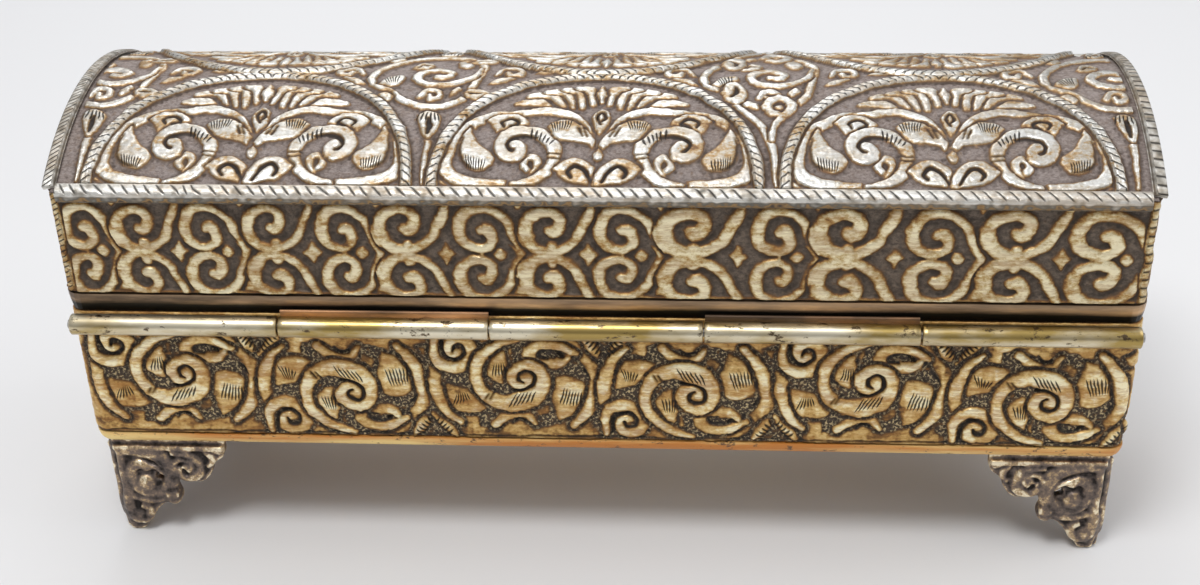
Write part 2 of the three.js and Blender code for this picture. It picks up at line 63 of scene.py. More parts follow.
# Sizes that repeat the part's source
SOLDER_GAP = 0.3
SHEET = 1.2
CORNER = 3.6
RING_HEIGHT = 0.95
RING_RADIUS = 36.2
RING_WIDTH = 2.3
RING_PITCH = 75.6
BEAD_RADIUS = 2.1
BEAD_DROP = 0.45  # from the eave down to the bead's middle
ARCH_WIDTH = 3.2  # edging over the vault's ends
ARCH_TURN = 0.8  # how far it turns down
LEAF_ROOM = 26.6  # from the body panel's lower edge up to where the hinge's leaves start
LEAF_THICKNESS = 0.7
PIN_CLEARANCE = 0.08
FOOT_INSET = 1.3

# Sizes read from the frame
LID_LOW, LID_HIGH = span("lid_back_band")
FRONT_LOW = span("lid_front_band")[0]
ROLL_LOW, ROLL_HIGH = span("body_roll")
SHIFT_Y = (LID_HIGH[1] + FRONT_LOW[1]) / 2
HALF_LID = ((LID_HIGH[0] - LID_LOW[0]) / 2, (LID_HIGH[1] - FRONT_LOW[1]) / 2)
HALF_BODY = tuple((ROLL_HIGH - ROLL_LOW)[:2] / 2)
BAND_Z = (LID_LOW[2], LID_HIGH[2])
PANEL_Z = tuple(corner[2] for corner in span("body_left_panel"))
EAVE_Z = BAND_Z[1] + SOLDER_GAP
VAULT_RISE = span("lid_vault")[1][2] - RING_HEIGHT - EAVE_Z
VAULT_RADIUS = (HALF_LID[1] ** 2 + VAULT_RISE**2) / (2 * VAULT_RISE)
VAULT_ANGLE = math.asin(HALF_LID[1] / VAULT_RADIUS)
VAULT_ARC = VAULT_RADIUS * VAULT_ANGLE  # from an eave to the ridge
VAULT_WIDTH = 2 * (HALF_LID[0] - SHEET - SOLDER_GAP)

# The relief's own sizes
GROUND = -0.45  # the sunk ground, from the panel's face
PEAK = 0.50  # the highest ridges, from the panel's face
EDGE = 0.75  # width of a ridge's rounded flank
MOAT = 0.7  # chased outline round what lies over something else
FINE = 0.24  # cells of the side that faces the camera
COARSE = 0.40  # cells elsewhere
ROPE_PITCH = 1.95  # from a ring's cut to the next


def smoothstep(t):
    t = np.clip(t, 0, 1)
    return t * t * (3 - 2 * t)


def blurred(field, times):
    for _ in range(times):
        p = np.pad(field, 1, mode="edge")
        field = (p[:-2, 1:-1] + p[2:, 1:-1] + p[1:-1, :-2] + p[1:-1, 2:] + 2 * p[1:-1, 1:-1]) / 6
    return field


def wander(shape, cells):
    """A smooth random field: its bumps are as many cells wide as told."""
    coarse = RNG.normal(0, 1, (shape[0] // cells + 3, shape[1] // cells + 3))

    def spread(line, length):
        return np.interp(np.arange(length) / cells, np.arange(line.size), line)

    rows = np.stack([spread(column, shape[0]) for column in coarse.T], 1)
    return np.stack([spread(row, shape[1]) for row in rows])


def sampled(field, j, i):
    """The field between its cells."""
    j, i = np.clip(j, 0, field.shape[0] - 1.001), np.clip(i, 0, field.shape[1] - 1.001)
    j0, i0 = j.astype(int), i.astype(int)
    b, a = j - j0, i - i0
    top = field[j0, i0] * (1 - a) + field[j0, i0 + 1] * a
    return top * (1 - b) + (field[j0 + 1, i0] * (1 - a) + field[j0 + 1, i0 + 1] * a) * b


def curve(points, per=6):
    """A smooth line through the points; whatever else they carry runs along with them."""
    p = np.array(points, float)
    p = np.vstack([2 * p[0] - p[1], p, 2 * p[-1] - p[-2]])
    t = np.linspace(0, 1, per, endpoint=False)[:, None]
    rows = []
    for a, b, c, d in zip(p, p[1:], p[2:], p[3:]):
        cubic = (3 * b - a - 3 * c + d) * t**3
        square = (2 * a - 5 * b + 4 * c - d) * t**2
        rows.append(0.5 * (2 * b + (c - a) * t + square + cubic))
    rows.append(p[-2:-1])
    return np.vstack(rows)


def with_width(points, widths):
    """The points with widths spread evenly over them."""
    p = np.array(points, float)
    at = np.linspace(0, 1, len(p))
    w = np.interp(at, np.linspace(0, 1, len(widths)), widths)
    return np.column_stack([p, w])


def level(lift):
    """The relief height that gives a lift off the panel's face, in millimetres."""
    return (lift - GROUND) / (PEAK - GROUND)


class Relief:
    """A height map over a panel laid flat: u runs right, v up, 0 is the ground and 1 a ridge."""

    def __init__(
        self, width, height, step, base=0.0, moat=MOAT, gap=0.12, dip=0.10, edge=EDGE, crown=0.22, painted_shade=22
    ):
        self.step = step  # size of a cell
        self.base = base  # height of the plain metal
        self.moat, self.gap = moat, gap  # width of a sunk outline, and the part of it that lies flat
        self.edge, self.dip, self.crown = edge, dip, crown  # a ridge's flank, its hollow top and its arch
        self.painted_shade = painted_shade  # how far the painted shade spreads from a ridge, in rounds of blurring
        self.lean = 0.13  # how far a leaf sinks towards its root
        self.u = np.linspace(-width / 2, width / 2, round(width / step) + 1)
        self.v = np.linspace(0, height, round(height / step) + 1)
        self.h = np.full((self.v.size, self.u.size), float(base))
        self.ink = np.zeros_like(self.h)  # chased lines
        self.phase = np.zeros_like(self.h)  # counts the fine cuts of a comb
        self.comb = np.zeros_like(self.h)  # the part of its pitch that each of them takes
        self.tone = None  # a colour level, where that isn't the height

    def window(self, low, high):
        """The cells between two corners."""
        i0, i1 = np.searchsorted(self.u, (low[0], high[0]))
        j0, j1 = np.searchsorted(self.v, (low[1], high[1]))
        return slice(j0, j1), slice(i0, i1)

    def along(self, v):
        """A level line over the whole width."""
        return [(u, v) for u in (self.u[0], 0, self.u[-1])]

    def near(self, line, reach):
        """For the cells near a line of (u, v, width): how deep inside its edge they lie, and in parts."""
        half = line[:, 2].max() / 2 + reach
        where = self.window(line[:, :2].min(0) - half, line[:, :2].max(0) + half)
        shape = self.h[where].shape
        depth = np.full(shape, -reach)
        share = np.zeros(shape)
        if 0 in shape:
            return where, depth, share
        j0, i0 = where[0].start, where[1].start
        for a, b in zip(line, line[1:]):
            r = max(a[2], b[2]) / 2 + reach
            j, i = self.window(np.minimum(a, b)[:2] - r, np.maximum(a, b)[:2] + r)
            if j.start >= j.stop or i.start >= i.stop:
                continue
            u, v = self.u[i][None, :] - a[0], self.v[j][:, None] - a[1]
            run = b[:2] - a[:2]
            t = np.clip((u * run[0] + v * run[1]) / max(run @ run, 1e-9), 0, 1)
            gap = np.hypot(u - t * run[0], v - t * run[1])
            wide = np.maximum((a[2] + (b[2] - a[2]) * t) / 2, 1e-3)
            part = (slice(j.start - j0, j.stop - j0), slice(i.start - i0, i.stop - i0))
            depth[part] = np.maximum(depth[part], wide - gap)
            share[part] = np.maximum(share[part], 1 - gap / wide)
        return where, depth, share

    def raise_to(self, where, depth, share, height, over, crown):
        """Raises a rounded form; over sinks an outline round it first."""
        if over:
            self.h[where] *= np.where(depth < 0, smoothstep(-depth / self.moat - self.gap), 1)
            self.ink[where] *= depth < 0
            self.comb[where] *= depth < -0.1
        rise = smoothstep(depth / self.edge + 0.36)
        rise *= 1 - crown + crown * (1 - (1 - np.clip(share, 0, 1)) ** 2)
        rise *= 1 - self.dip * smoothstep((depth - 0.55) / 0.7)
        self.h[where] = np.maximum(self.h[where], height * rise)

    def stroke(self, points, widths, height=1.0, over=False, crown=None):
        """A rounded ribbon along a smooth line."""
        crown = self.crown if crown is None else crown
        line = curve(with_width(points, widths))
        where, depth, share = self.near(line, self.moat)
        self.raise_to(where, depth, share, height, over, crown)

    def inside(self, points):
        """The cells near a smooth outline, and how deep inside it they lie."""
        ring = curve(list(points) + [points[0]], 5)
        where = self.window(ring.min(0) - self.moat, ring.max(0) + self.moat)
        u, v = self.u[where[1]][None, :], self.v[where[0]][:, None]
        gap = np.full(self.h[where].shape, 99.0)
        within = np.zeros(self.h[where].shape, bool)
        for a, b in zip(ring, ring[1:]):
            run = b - a
            t = np.clip(((u - a[0]) * run[0] + (v - a[1]) * run[1]) / max(run @ run, 1e-9), 0, 1)
            gap = np.minimum(gap, np.hypot(u - a[0] - t * run[0], v - a[1] - t * run[1]))
            if a[1] != b[1]:
                within ^= ((a[1] > v) != (b[1] > v)) & (u < run[0] * (v - a[1]) / run[1] + a[0])
        return where, np.where(within, gap, -gap)

    def leaf(self, points, height=1.0, over=True, crown=0.2):
        """A swelling shape inside a smooth outline."""
        where, depth = self.inside(points)
        if depth.size:
            root = np.array(points[0], float)
            far = np.hypot(self.u[where[1]][None, :] - root[0], self.v[where[0]][:, None] - root[1])
            fall = 1 - self.lean * smoothstep(1 - far / far[depth > depth.max() / 3].max())
            self.raise_to(where, depth, depth / max(depth.max(), 1e-3), height * fall, over, crown)

    def sink(self, points):
        """A sunk patch of ground."""
        where, depth = self.inside(points)
        part = smoothstep(depth / 0.6 + 0.5)
        self.h[where] *= 1 - part
        self.ink[where] *= 1 - part
        self.comb[where] *= part < 0.5

    def groove(self, points, widths, deep):
        """A chased line, cut into whatever is there."""
        line = curve(with_width(points, widths))
        where, depth, _ = self.near(line, 0.3)
        mark = smoothstep((depth + 0.2) / 0.45)
        self.h[where] -= deep * mark
        self.ink[where] = np.maximum(self.ink[where], mark)

    def cuts(self, where, near, phase, part):
        """Fine cuts over some cells: phase counts them, part is what they take of their pitch."""
        self.phase[where] = np.where(near, phase, self.phase[where])
        self.comb[where] = np.where(near, part, self.comb[where])

    def hatch(self, start, end, count, part=0.42):
        """A comb: start and end each hold where the first and the last cut has that end."""
        a, b = np.array(start, float), np.array(end, float)
        corners = np.vstack([a, b])
        where = self.window(corners.min(0) - 0.6, corners.max(0) + 0.6)
        u, v = self.u[where[1]][None, :] - a[0, 0], self.v[where[0]][:, None] - a[0, 1]
        if not (u.size and v.size):
            return
        across, along, twist = a[1] - a[0], b[0] - a[0], a[0] - a[1] + b[1] - b[0]
        k2 = twist[0] * across[1] - twist[1] * across[0]
        k1 = along[0] * across[1] - along[1] * across[0] + u * twist[1] - v * twist[0]
        k0 = u * along[1] - v * along[0]
        root = np.sqrt(np.maximum(k1 * k1 - 4 * k2 * k0, 0))
        t = -2 * k0 / (k1 + np.where(k1 < 0, -root, root) + 1e-9)
        ray = (along[0] + twist[0] * t, along[1] + twist[1] * t)
        rest = (u - across[0] * t, v - across[1] * t)
        s = (rest[0] * ray[0] + rest[1] * ray[1]) / (ray[0] ** 2 + ray[1] ** 2 + 1e-9)
        near = (np.abs(t - 0.5) < 0.8) & (np.abs(s - 0.5) < 0.8)
        taper = smoothstep(np.minimum(s, 1 - s) / 0.3) * (np.abs(t - 0.5) < 0.5)
        self.cuts(where, near, t * count, part * taper)

    def straight_cuts(self, low, high, pitch, slant, part):
        """Even cuts across a strip between two corners."""
        where = self.window(low, high)
        u, v = self.u[where[1]][None, :], self.v[where[0]][:, None]
        long_u = high[0] - low[0] > high[1] - low[1]
        phase = (u + slant * v if long_u else v + slant * u) / pitch
        self.cuts(where, True, phase, part)

    def stipple(self, amount, size=1):
        """The punched ground between the ridges."""
        grain = blurred(RNG.normal(0, 1, self.h.shape), size)
        grain /= grain.std()
        self.h += amount * grain * (1 - smoothstep(self.h / 0.3))

    def settle(self, margin=0.5):
        """Make the lines uneven, as a hand leaves them, and bring the borders down to the ground."""
        j, i = np.indices(self.h.shape, dtype=float)
        for cells, reach in ((round(2.6 / self.step), 0.13), (round(1.0 / self.step), 0.07)):
            j += wander(self.h.shape, cells) * reach / self.step
            i += wander(self.h.shape, cells) * reach / self.step
        fields = (self.h, self.ink, self.phase, self.comb)
        self.h, self.ink, self.phase, self.comb = (sampled(f, j, i) for f in fields)
        self.h = blurred(self.h, 1)
        self.h += 0.1 * blurred(RNG.normal(0, 1, self.h.shape), 3)
        u = np.minimum(self.u - self.u[0], self.u[-1] - self.u)[None, :]
        v = np.minimum(self.v - self.v[0], self.v[-1] - self.v)[:, None]
        self.h *= smoothstep(np.minimum(u, v) / margin)

    def keep_under(self, where, lift):
        """Holds some cells below a lift, in millimetres."""
        self.h[where] = np.minimum(self.h[where], level(lift))

    def tones(self):
        """What the metal's colour follows."""
        # hollow: how far a cell lies below its blurred surroundings; the materials paint shade there, darkest in
        # narrow channels
        hollow = np.clip(blurred(self.h, self.painted_shade) - self.h, -1, 1)
        tone = self.h if self.tone is None else self.tone
        ink = blurred(self.ink, 1)
        return {"height": tone, "hollow": hollow, "ink": ink, "phase": self.phase, "comb": self.comb}


class Pen:
    """Draws on a relief from an origin of its own, turned over or not."""

    def __init__(self, relief, at, flip=(1, 1)):
        self.relief, self.at, self.flip = relief, at, flip

    def to(self, points):
        return np.array(points, float) * np.array(self.flip) + np.array(self.at)

    def stroke(self, points, widths, over=True, **how):
        self.relief.stroke(self.to(points), widths, over=over, **how)

    def leaf(self, points, **how):
        self.relief.leaf(self.to(points), **how)

    def groove(self, points, widths, deep):
        self.relief.groove(self.to(points), widths, deep)

    def sink(self, points):
        self.relief.sink(self.to(points))

    def hatch(self, start, end, count, **how):
        self.relief.hatch(self.to(start), self.to(end), count, **how)


# Meshes
def joined(solids):
    """Several solids, each its points and its faces, as one."""
    points, faces, start = [], [], 0
    for p, f in solids:
        points.append(p)
        faces += [[k + start for k in face] for face in f] if start else f
        start += len(p)
    return np.concatenate(points), faces


def add_piece(name, mesh, body, node):
    """Puts a mesh into the scene: it rides on a body and stands in for a CAD node."""
    obj = bpy.data.objects.new(name, mesh)
    bpy.context.scene.collection.objects.link(obj)
    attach(obj, body)
    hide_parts(node)


def shell(grid, tones, outward, behind, base):
    """A closed sheet: the grid in front, long plain strips behind and flat sides."""
    rows, cols = grid.shape[:2]
    at = np.arange(rows * cols).reshape(rows, cols)
    b0, b1 = rows * cols + np.arange(cols), rows * cols + cols + np.arange(cols)
    first, last = at[0], at[-1]
    quads = [
        np.stack([at[:-1, :-1], at[1:, :-1], at[1:, 1:], at[:-1, 1:]], -1).reshape(-1, 4),
        np.stack([first[:-1], first[1:], b0[1:], b0[:-1]], -1),
        np.stack([last[1:], last[:-1], b1[:-1], b1[1:]], -1),
        np.stack([b0[:-1], b0[1:], b1[1:], b1[:-1]], -1),
    ]
    faces = np.concatenate(quads).tolist()
    faces.append(at[::-1, 0].tolist() + [int(b0[0]), int(b1[0])])
    faces.append(at[:, -1].tolist() + [int(b1[-1]), int(b0[-1])])
    j, i = rows // 2, cols // 2
    across = np.cross(grid[j + 1, i] - grid[j, i], grid[j, i + 1] - grid[j, i])
    if across @ outward < 0:
        faces = [f[::-1] for f in faces]
    points = np.concatenate([grid.reshape(-1, 3), *behind])
    back = {k: np.full(2 * cols, base * (k == "height")) for k in tones}
    tones = {k: np.concatenate([t.reshape(-1), back[k]]) for k, t in tones.items()}
    return points, faces, len(quads[0]), tones


def build_piece(name, parts, material, body, node):
    """One object from one or more shells, in place of a CAD node."""
    points, faces = joined([part[:2] for part in parts])
    smooth = []
    for _, own, fine, _ in parts:
        smooth += [True] * fine + [False] * (len(own) - fine)
    mesh = bpy.data.meshes.new(name)
    mesh.from_pydata((points * MM).tolist(), [], faces)
    mesh.polygons.foreach_set("use_smooth", smooth)
    for key in parts[0][3]:
        values = np.concatenate([part[3][key] for part in parts]).astype(np.float32)
        mesh.attributes.new(key, "FLOAT", "POINT").data.foreach_set("value", values)
    mesh.materials.append(material)
    add_piece(name, mesh, body, node)


def sheet_part(relief, place, depth=-SHEET, long_rows=True, rows=slice(None), cols=slice(None), warp=None):
    """The shell of a relief, laid over a panel by place(u, v, lift)."""
    tones = {k: t[rows, cols] for k, t in relief.tones().items()}
    lift = (GROUND + (PEAK - GROUND) * relief.h)[rows, cols]
    u, v = np.meshgrid(relief.u[cols], relief.v[rows])
    if warp:
        v = warp(u, v)
    if not long_rows:  # the strips behind run across the panel instead
        u, v, lift = u.T, v.T, lift.T
        tones = {k: t.T for k, t in tones.items()}
    behind = [place(u[k], v[k], np.full(u[k].shape, depth)) for k in (0, -1)]
    middle = (u.shape[0] // 2, u.shape[1] // 2)
    at = [np.array([[w[middle]]]) for w in (u, v)]
    outward = (place(*at, np.array([[1.0]])) - place(*at, np.array([[0.0]])))[0, 0]
    return shell(place(u, v, lift), tones, outward, behind, relief.base)


def lay(name, node, relief, place, material, body, count=1, step=1, **how):
    """A relief over its panel, in as many pieces side by side as count says."""
    ends = (np.linspace(0, (relief.u.size - 1) // step, count + 1).round() * step).astype(int)
    for k, (a, b) in enumerate(zip(ends, ends[1:])):
        label = f"{name}_{k + 1}" if count > 1 else name
        part = sheet_part(relief, place, cols=slice(a, b + 1, step), **how)
        build_piece(label, [part], material, body, node)


def wrapped(half, side, bottom):
    """Lays a long panel along one face and round its two upright corners."""
    flat = half[0] - CORNER

    def place(u, v, lift):
        over = np.clip(np.abs(u) - flat, 0, None) / CORNER
        x = np.sign(u) * (np.minimum(np.abs(u), flat) + (CORNER + lift) * np.sin(over))
        y = half[1] - CORNER + (CORNER + lift) * np.cos(over)
        return np.stack([-side * x, side * y + SHIFT_Y, bottom + v], -1)

    return place, 2 * flat + math.pi * CORNER


def end_face(half, side, bottom):
    """Lays a panel on one end."""

    def place(u, v, lift):
        return np.stack([side * (half[0] + lift), side * u + SHIFT_Y, bottom + v], -1)

    return place


def on_vault(u, s, lift):
    """Lays a map over the vault; s runs from the back eave."""
    t = VAULT_ANGLE - s / VAULT_RADIUS
    r = VAULT_RADIUS + lift
    z = EAVE_Z + r * np.cos(t) - VAULT_RADIUS * math.cos(VAULT_ANGLE)
    return np.stack([-u, r * np.sin(t) + SHIFT_Y, z], -1)


# The lid's band: pairs of facing spirals, A and B in turn
SPIRAL = [
    (9.0, -6.0), (8.3, -3.8), (7.0, -1.2), (5.3, 2.4), (1.2, 5.0), (-3.2, 4.3), (-5.2, 0.7), (-4.3, -3.0),
    (-0.8, -4.7), (1.9, -3.5), (2.1, -1.5), (1.0, 0.2), (-0.1, -0.1),
]  # fmt: skip
SPIRAL_WIDTHS = (2.0, 2.7, 2.8, 2.8, 2.9, 3.4, 3.8, 3.4, 3.0, 3.0, 3.4, 3.7, 3.0)
BAND_ROW = 5.9  # from the band's middle line to each row of spirals
BAND_MIDDLE = 10.9  # from the band's lower edge to that line
PAIR_PITCH = 15.6  # from a pair of spirals to the next, where they aren't stretched


def spiral_pair(relief, at, kind, stretch):
    """Two spirals one above the other, with tails that meet (A) or part (B)."""
    u, v = at
    drawn = []
    for row in (1, -1):
        flip = row if kind == "A" else -row
        jitter = RNG.normal(0, 0.18, 2)
        pen = Pen(relief, (u + jitter[0], v + row * BAND_ROW + jitter[1]), (stretch, flip))
        widths = np.array(SPIRAL_WIDTHS) * RNG.normal(1, 0.06) * (0.5 + 0.5 * stretch)
        pen.stroke(SPIRAL, widths)
        drawn.append((pen, widths))
    for pen, widths in drawn:  # again, so that the two run into each other
        pen.stroke(SPIRAL, widths, over=False)
    if kind == "A":
        relief.stroke([(u, v - 1.4), (u, v + 1.4)], (1.3, 1.3), height=0.85)
        tip = u + 8.6 * stretch
        relief.leaf([(tip - 2.4, v - 2.8), (tip + 1.3, v), (tip - 2.4, v + 2.8), (tip - 1.0, v)], over=False)
    else:
        relief.stroke([(u + 0.4, v - 2.0), (u + 0.4, v + 2.0)], (3.2, 2.6, 3.2))


def diamond(relief, at, wide, tall):
    """A small boss with four points."""
    u, v = at
    for a, b in ((wide, 0), (0, tall)):
        relief.stroke([(u - a, v - b), (u, v), (u + a, v + b)], (0.8, 2.8, 0.8), height=0.85, crown=0.1)


def band(relief, centres):
    """The whole band; centres are where the pairs stand, A and B in turn."""
    gaps = np.diff(centres)
    gaps = np.append(gaps, gaps[-1])
    stretches = np.clip(gaps / PAIR_PITCH, 0.80, 1.16)
    for kind in (0, 1):
        for k in range(kind, len(centres), 2):
            spiral_pair(relief, (centres[k], BAND_MIDDLE), "AB"[kind], stretches[k])
    low, high = 0.9, relief.v[-1] - 1.1
    for k, (u, gap, stretch) in enumerate(zip(centres, gaps, stretches)):
        across = u + gap / 2
        if k % 2 == 0:
            diamond(relief, (u + 4.2 * stretch, BAND_MIDDLE), 1.2, 1.3)
            tip = across + 0.7
            for v, half, rise, height in ((low, 1.9, 3.2, 0.85), (high, 1.6, -2.6, 0.8)):
                relief.leaf([(tip - half, v), (tip, v + rise), (tip + half, v)], height, over=False)
        else:
            diamond(relief, (across + 0.6, BAND_MIDDLE), 1.9, 2.5)
    relief.stroke(relief.along(0.45), (1.1, 1.1), height=0.72)
    relief.stroke(relief.along(relief.v[-1] - 0.5), (0.9, 0.9), height=0.6)


def corner_strips(relief, inner):
    """The upright strips at the lid's corners: slanting cuts at one, level ones at the other."""
    top = relief.v[-1]
    for side, pitch, slant in ((1, 2.1, 0.1), (-1, 1.3, -0.7)):
        u = side * (inner + 1.9)
        relief.stroke([(u, 0), (u, top / 2), (u, top)], (2.6, 2.6), height=0.74, over=True, crown=0.1)
        relief.straight_cuts((u - 1.1, 0.2), (u + 1.1, top - 0.2), pitch, slant, 0.24)


BACK_CENTRES = [
    -112.1, -99.5, -84.7, -70.2, -54.6, -41.0, -24.7, -9.7, 6.0, 21.0, 39.7, 54.1, 73.3, 89.6, 108.4,
]  # fmt: skip


def lid_band(name, side, centres, cell, count=1):
    """The band along one of the lid's long sides, round both corners."""
    place, length = wrapped(HALF_LID, side, BAND_Z[0])
    relief = Relief(length, BAND_Z[1] - BAND_Z[0], cell, dip=0.03, edge=1.2, crown=0.5, painted_shade=40)
    band(relief, centres)
    corner_strips(relief, HALF_LID[0] - CORNER)
    relief.stipple(0.06)
    relief.settle()
    relief.keep_under((slice(None), np.abs(relief.u) > HALF_LID[0] - CORNER), 0.28)
    relief.keep_under(relief.v > relief.v[-1] - 2.8, 0.2)
    lay(name, name, relief, place, RUBBED, "lid", count)


# The body's roundels
STEM = [
    (-0.6, -11.2), (-6.7, -8.7), (-10.4, -4.6), (-11.3, 0.0), (-9.7, 3.8), (-6.6, 6.2), (-2.6, 6.4),
    (1.2, 4.9), (3.2, 1.6), (2.9, -1.7), (0.4, -3.3), (-2.1, -2.0), (-2.4, 0.6), (-0.6, 1.7), (0.6, 0.2),
]  # fmt: skip
STEM_WIDTHS = (1.8, 2.4, 2.8, 3.0, 3.2, 3.9, 5.0, 5.6, 5.2, 4.4, 3.9, 3.6, 3.4, 3.2, 3.0)
STEM_GROOVE = [
    (-2.9, 3.2), (-0.6, 3.1), (1.8, 1.5), (2.1, -1.1), (0.4, -2.2), (-1.3, -1.2), (-1.3, 0.4), (-0.3, 1.1),
]  # fmt: skip
RIGHT_RING = [(10.6, 12.6), (14.0, 8.4), (15.9, 3.5), (16.2, -1.8), (13.3, -7.1), (7.6, -10.5), (2.6, -12.3)]
LEFT_RING = [(-15.4, 12.4), (-19.0, 8.6), (-20.6, 3.2), (-20.5, -2.4), (-20.6, -8.0)]
FAN_LEAF = [
    (7.6, 10.4), (10.6, 9.0), (13.4, 6.2), (13.7, 2.4), (10.6, -0.1), (7.3, 0.3), (6.3, 4.3), (6.8, 7.3),
]  # fmt: skip
INNER_LEAF = [
    (-8.4, -1.2), (-6.5, 0.5), (-4.4, 0.8), (-3.7, -1.7), (-4.4, -5.2), (-5.2, -7.8), (-7.3, -6.3),
    (-8.5, -4.0),
]  # fmt: skip
SIDE_LEAF = [(-19.0, 4.6), (-18.1, 7.8), (-13.8, 9.0), (-9.7, 7.7), (-12.2, 3.5), (-16.1, 2.3), (-18.7, 2.2)]
COMMA = [
    (10.6, -6.6), (8.2, -4.6), (5.0, -4.4), (2.0, -5.0), (1.0, -7.2), (3.4, -9.1), (7.6, -8.8), (11.6, -6.9),
]  # fmt: skip
COMMA_GROOVE = [(8.6, -6.2), (6.5, -7.6), (3.7, -7.3), (3.0, -6.0), (5.2, -5.7)]
BUD = [
    (-20.3, -10.9), (-20.3, -5.6), (-17.3, -2.9), (-13.4, -3.8), (-11.9, -7.4), (-14.2, -10.3), (-17.0, -9.2),
    (-16.9, -6.7), (-15.0, -6.6),
]  # fmt: skip
BUD_GROOVE = [
    (-19.0, -10.6), (-18.3, -6.6), (-15.7, -5.0), (-13.4, -6.6), (-13.8, -8.6), (-15.6, -8.9), (-16.2, -7.3),
]  # fmt: skip


# Sunk, punched patches between a roundel's forms
PATCHES = (
    [(-8.4, 2.6), (-6.3, 4.3), (-3.4, 5.1), (-1.9, 4.3), (-3.4, 1.7), (-4.1, -1.3), (-3.4, -4.3)],
    [(6.3, 1.3), (10.0, 0.4), (13.8, 1.7), (15.3, 3.4), (14.7, -2.1), (12.5, -3.8), (10.0, -4.3), (6.9, -3.4),
     (5.6, -2.1)],
    [(-3.4, -5.6), (-1.3, -4.7), (1.3, -5.6), (2.5, -7.7), (3.8, -9.4), (2.5, -11.5), (-0.6, -11.1),
     (-2.5, -9.0)],
    [(0.6, 12.8), (4.4, 13.2), (6.9, 12.0), (6.3, 8.5), (3.8, 9.8), (1.3, 10.7)],
    [(-11.3, 13.7), (-7.5, 13.2), (-6.9, 9.8), (-10.0, 7.7), (-11.3, 10.3)],
    [(-18.8, 0.0), (-16.3, 2.6), (-13.1, 2.6), (-11.3, 0.9), (-11.9, -1.7), (-15.0, -2.1), (-18.1, -2.1)],
    [(15.6, -13.2), (17.4, -11.2), (18.4, -9.4), (19.5, -11.2), (21.3, -13.2)],
)  # fmt: skip
# The body's plain metal stands between ground and ridge, and its outlines and flanks are broad and soft
BODY_RELIEF = {"base": 0.68, "moat": 1.25, "gap": 0.28, "dip": 0.08, "edge": 1.1, "crown": 0.42}


def grown(points, by):
    """The outline made larger about its middle."""
    p = np.array(points, float)
    return p.mean(0) + (p - p.mean(0)) * by


def roundel(relief, at, turn):
    """A wheel of scrolls with leaves; turn = -1 turns it upside down."""
    at = np.array(at) + RNG.normal(0, 0.2, 2)
    pen = Pen(relief, at, (1, turn))
    for patch in PATCHES:
        pen.sink(grown(patch, 0.9))
    pen.leaf(grown(SIDE_LEAF, 1.16), height=1.15)
    pen.hatch([(-17.6, 7.8), (-12.4, 5.8)], [(-15.8, 3.6), (-13.6, 3.4)], 6, part=0.5)
    pen.leaf(grown(INNER_LEAF, 1.15), height=1.15)
    pen.hatch([(-8.0, -0.6), (-4.0, -0.4)], [(-6.8, -4.6), (-4.6, -5.0)], 5, part=0.5)
    pen.leaf(grown(FAN_LEAF, 1.16), height=1.15)
    pen.hatch([(7.2, 7.0), (12.9, 7.4)], [(8.8, 1.6), (13.2, 2.8)], 7, part=0.5)
    pen.groove([(12.6, 7.9), (14.1, 5.2), (13.9, 2.2)], (0.6, 0.9, 0.5), 0.7)
    pen.stroke(LEFT_RING, (1.4, 2.6, 3.0, 2.9, 1.6))
    pen.stroke(RIGHT_RING, (1.8, 3.0, 3.6, 3.9, 3.8, 3.1, 1.4))
    pen.stroke(BUD, (1.8, 2.6, 3.3, 3.7, 3.7, 3.5, 3.2, 3.0, 2.8))
    pen.groove(BUD_GROOVE, (0.6, 0.9, 0.8, 0.6), 0.75)
    pen.stroke(COMMA, (1.6, 2.8, 3.5, 3.7, 3.2, 3.0, 2.6, 1.6))
    pen.groove(COMMA_GROOVE, (0.6, 0.9, 0.6), 0.75)
    pen.stroke([(-7.6, 12.4), (-4.4, 9.9), (-0.4, 9.4), (2.0, 12.2)], (2.4, 2.4, 2.2, 1.4))
    pen.groove([(-3.4, 12.2), (-2.1, 10.9), (-0.4, 11.4)], (0.5, 0.6), 0.6)
    pen.stroke(STEM, STEM_WIDTHS, crown=0.32)
    pen.groove(STEM_GROOVE, (0.6, 0.9, 0.9, 0.8, 0.6), 0.85)
    pen.hatch([(-4.8, 7.9), (1.4, 6.2)], [(-2.4, 3.8), (2.8, 2.8)], 6, part=0.5)
    for u in (-8.9, -7.9):
        pen.groove([(u - 0.5, 5.4), (u + 0.5, 3.9)], (0.5, 0.5), 0.5)
    pen.groove([(14.9, 0.0), (13.6, -2.2), (12.4, -3.4)], (0.3, 0.6, 0.3), 0.45)
    pen.groove([(12.6, -4.6), (11.2, -5.4), (10.4, -6.8)], (0.3, 0.6, 0.3), 0.45)
    for base in (13.3, 23.1):
        lean = (base - 18) * 0.55
        pen.stroke([(18.0, -5.2), ((18.0 + base) / 2, -8.2), (base, -11.4)], (1.2, 2.6, 1.4))
        start, end = [(18.0 + lean * 0.4, -5.8), (base, -10.0)], [(18.0, -7.8), (base - lean * 0.9, -11.8)]
        pen.hatch(start, end, 5, part=0.5)
    pen.leaf([(15.6, 12.2), (17.2, 9.8), (20.2, 9.2), (22.8, 10.6), (23.6, 12.6), (19.6, 12.9)])


BACK_ROUNDELS = [-95.2, -56.3, -16.8, 21.8, 61.4, 100.5]
ROUNDEL_PITCH = 39.1  # on the front, where they stand evenly
ROUNDEL_MIDDLE = 14.3  # from the panel's lower edge
ROUNDEL_SWAY = 2.1  # an upright one stands this much lower, and one turned over this much higher


